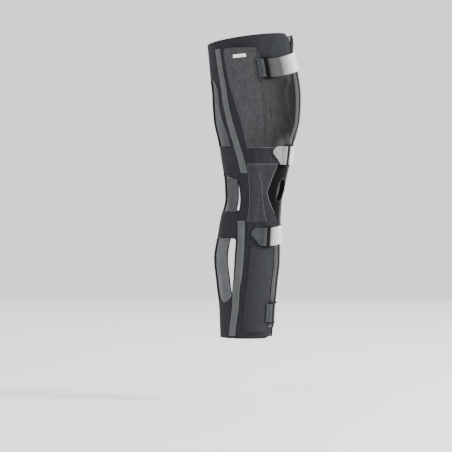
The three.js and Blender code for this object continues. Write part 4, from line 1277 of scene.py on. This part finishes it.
def belt(name, strap, arc, lift, cloth, finish, node, rests_on, edges=None):
    """Strap cloth laid along a path: x runs across its width, y along it."""
    keep = np.concatenate([[True], np.hypot(np.diff(arc), np.diff(lift)) > 0.02])
    arc, lift = arc[keep], lift[keep]
    rows = len(arc) - 1
    piece = add_grid(name, BELT_COLUMNS, rows)
    share = points_of(piece)
    row = np.rint(share[:, 1] * rows).astype(int)
    low, high = edges(arc[row]) if edges else (0.0, 1.0)
    across = mix(low, high, share[:, 0])
    middle = strap_height(strap, arc[row])
    turn = arc[row] / arc_per_degree(middle)
    height = middle + STRAP_WIDTH * (across - 0.5)
    length = np.concatenate([[0], np.cumsum(np.hypot(np.diff(arc), np.diff(lift)))])
    flat = np.stack([across * STRAP_WIDTH, length[row], 0 * across], 1)
    # the worn strap hollows a little between its edges
    hollow = 0.25 * np.cos((across - 0.5) * math.pi) * np.sin(length[row] / 15)
    set_points(piece, flat)
    area, size = flat_area(piece), flat_size(flat)
    set_uv(piece, flat)
    out = lift[row] + settle(turn, middle) + hollow * 0.6
    set_points(piece, on_leg(turn, height, out))
    thicken(piece, cloth, 0.45)
    with editing(piece):
        bpy.ops.mesh.normals_make_consistent(inside=False)
    dress(piece, [finish], [node])
    sheets.append((piece, size, area, rests_on))


def ring(strap):
    """A moulded ring: a flat frame with two slots, its edges rounded, bent to the leg."""
    name, height, _, ring_turn, seat, *_ = strap
    middle = ring_turn * arc_per_degree(height)
    slot_half = STRAP_WIDTH / 2 + RING_SLOT_PLAY
    outer_half = slot_half + RING_WALL
    inner = RING_BRIDGE / 2
    columns = [-RING_WIDTH / 2, -inner - RING_SLOT, -inner, inner, inner + RING_SLOT,
               RING_WIDTH / 2]
    rows = [-outer_half, -slot_half, slot_half, outer_half]
    piece = add_grid(f"ring_{name}_moulding", 5, 3)
    share = points_of(piece)
    x = np.interp(share[:, 0] * 5, range(6), columns)
    z = np.interp(share[:, 1] * 3, range(4), rows)
    set_points(piece, np.stack([x, z, 0 * x], 1))
    for side in (-1, 1):
        middle_slot = side * (inner + RING_SLOT / 2)
        box = np.array([[middle_slot - 1, -10], [middle_slot + 1, -10], [middle_slot + 1, 10],
                        [middle_slot - 1, 10]])
        open_hole(piece, box, 0)
    with editing(piece):
        bpy.ops.mesh.subdivide(number_cuts=2)
        bpy.ops.mesh.flip_normals()
    flat = points_of(piece)
    # the four outer corners are rounded
    at_end = np.abs(flat[:, 1]) > outer_half - 0.01
    corner = (np.abs(flat[:, 0]) > RING_WIDTH / 2 - 0.01) & at_end
    flat[corner] *= RING_CORNER_DRAW
    low = seat + RING_CLEARANCE + STRAP_CLOTH
    turn = (middle + flat[:, 0]) / arc_per_degree(height)
    bend = settle(np.full(1, float(ring_turn)), np.full(1, float(height)))[0]
    lift = low + RING_THICKNESS / 2 + bend
    set_uv(piece, flat)
    set_points(piece, on_leg(turn, height + flat[:, 1], lift + 0 * turn))
    thicken(piece, RING_THICKNESS, 0.7, segments=3, crease=40, smooth_under=40)
    dress(piece, [plastic_finish], [f"ring_{name}"])


for strap in STRAPS:
    name, height, _, ring_turn, seat, _, tip_length = strap
    per_degree = arc_per_degree(height)
    section = {"thigh": "thigh", "above_knee": "knee"}.get(name, "calf")
    arc, lift = strap_path(strap)
    belt(f"strap_{name}_cloth", strap, arc, lift, STRAP_CLOTH, strap_finish,
         f"strap_{name}", f"medial_{section}_shell")
    tab_arc, tab_lift, tip = tab_path(strap)

    def tip_edges(at, tip=tip, tip_length=tip_length):
        """The tab ends in a point above its middle."""
        far = tip - at
        if not tip_length:
            return 0.0 * at, 1.0 + 0.0 * at
        low = 0.60 * np.clip(1 - far / (1.25 * tip_length), 0, 1) ** 0.85
        high = 1 - 0.24 * np.clip(1 - far / (0.7 * tip_length), 0, 1) ** 2.2
        return low, high

    finish = pale_tab_finish if name == "above_knee" else tab_finish
    belt(f"tab_{name}_cloth", strap, tab_arc, tab_lift, TAB_CLOTH, finish, f"tab_{name}",
         f"lateral_{section}_shell", edges=tip_edges)
    ring(strap)
    # a row of stitches closes the tab's loop behind the bar, and a box of them sews down the end
    bar_arc = ring_turn * per_degree + RING_HALF_PITCH
    middle = strap_height(strap, np.array(bar_arc))
    tab_top = mix(RING_THICKNESS + 2 * RING_CLEARANCE, 0.3, smooth(TAB_CLOSE)) + 0.1
    tab_top += seat + 2 * TAB_CLOTH
    close = bar_arc + RING_BAR + TAB_CLOSE * TAB_BLEND
    reach = STRAP_WIDTH / 2 - TAB_STITCH_INSET
    lines = [(np.full(12, close / per_degree), np.linspace(middle - reach, middle + reach, 12),
              tab_top)]
    turns = STRAP_END_TURN + degrees(np.array([BOX_INSET, STRAP_SEWN - 2.0]), height)
    middle = float(strap_height(strap, np.array(STRAP_END_TURN * per_degree)))
    reach = STRAP_WIDTH / 2 - BOX_INSET
    heights = np.array([middle - reach, middle + reach])
    strap_top = PANEL_SEAT + STRAP_CLOTH + 0.1
    lines += [(turns[ends], heights[levels], strap_top) for ends, levels in BOX_LINES]
    trim[f"strap_{name}_cloth"] = [
        stitch_rows(f"strap_{name}_stitches", lines, grey_thread)
    ]

# Blank label, sewn down at its two ends


def label_place(u, v):
    height = LABEL_HEIGHT_ON_LEG + LABEL_HEIGHT * (v - 0.5) + LABEL_RISE * (u - 0.5)
    return LABEL_TURN + degrees(LABEL_WIDTH * (0.5 - u), LABEL_HEIGHT_ON_LEG), height


def label_relief(turn, height):
    far = np.abs(turn - LABEL_TURN) * arc_per_degree(LABEL_HEIGHT_ON_LEG) / (LABEL_WIDTH / 2)
    return thigh_relief(turn, height) + 0.35 * (1 - smooth((far - 0.6) / 0.35))


sew("blank_label", 30, 10, label_place, PANEL_FACE + 0.45, LABEL_CLOTH, [label_finish],
    "label_tab", relief=label_relief, edge=0.15, rests_on="lateral_thigh_panel")

for piece, size, area, rests_on in sheets:
    width, length = size
    # a narrow strip that leans on the leg is cut straight
    if area < 0.45 * width * length:
        width = area / length
    # the label is woven a little taller than it shows, for the fold under each edge
    length = max(length, 0.0101)

# Camera, floor and lights

CAMERA_AZIMUTH = -65
CAMERA_DISTANCE = 4.2
CAMERA_HEIGHT = 0.0433
AIM = Vector((-0.0256, 0.055, -0.078))
SENSOR_WIDTH = 36
LENS_LENGTH = 154.4
FLOOR_HEIGHT = -0.46
FLOOR_RADIUS = 3.4
WORLD_STRENGTH = 1.35
# Lights: name, metres to the right, towards the camera and up, then size and power
LIGHTS = [
    ("key", 2.8, 0.7, 1.2, 1.1, 170),
    ("fill", -1.6, 2.6, 1.4, 1.6, 40),
    ("rim", 0.6, -2.2, 1.8, 1.4, 25),
]

facing = math.radians(CAMERA_AZIMUTH)
towards = Vector((math.sin(facing), -math.cos(facing), 0))
rightward = Vector((math.cos(facing), math.sin(facing), 0))
lens = bpy.data.cameras.new("camera")
lens.sensor_width = SENSOR_WIDTH
lens.lens = LENS_LENGTH
camera = bpy.data.objects.new("camera", lens)
camera.location = towards * CAMERA_DISTANCE + Vector((0, 0, CAMERA_HEIGHT))
camera.rotation_euler = (AIM - camera.location).to_track_quat("-Z", "Y").to_euler()
bpy.context.scene.collection.objects.link(camera)
bpy.context.scene.camera = camera


def pale_sweep():
    """A wide pale floor that meets the pale room far behind."""
    bpy.ops.object.select_all(action="DESELECT")
    bpy.ops.mesh.primitive_circle_add(
        vertices=96, radius=FLOOR_RADIUS, fill_type="NGON", location=(0, 0, FLOOR_HEIGHT)
    )
    floor = bpy.context.object
    floor.name = "studio_floor"
    bpy.ops.object.transform_apply(location=True, rotation=False, scale=False)
    finish, _, shader = new_finish("pale studio paper", 0.9, specular=0.1)
    shader.inputs["Base Color"].default_value = linear("fafafa")
    floor.data.materials.append(finish)


def soft_light(name, place, size, power):
    light = bpy.data.lights.new(name, "AREA")
    light.shape = "DISK"
    light.size = size
    light.energy = power
    lamp = bpy.data.objects.new(name, light)
    lamp.location = place
    lamp.rotation_euler = (Vector((0, 0, 0)) - place).to_track_quat("-Z", "Y").to_euler()
    bpy.context.scene.collection.objects.link(lamp)


pale_sweep()
for name, right, near, up, size, power in LIGHTS:
    soft_light(name, rightward * right + towards * near + Vector((0, 0, up)), size, power)
world = bpy.data.worlds.new("pale room")
world.use_nodes = True
world.node_tree.nodes["Background"].inputs["Color"].default_value = (1, 1, 1, 1)
world.node_tree.nodes["Background"].inputs["Strength"].default_value = WORLD_STRENGTH
bpy.context.scene.world = world
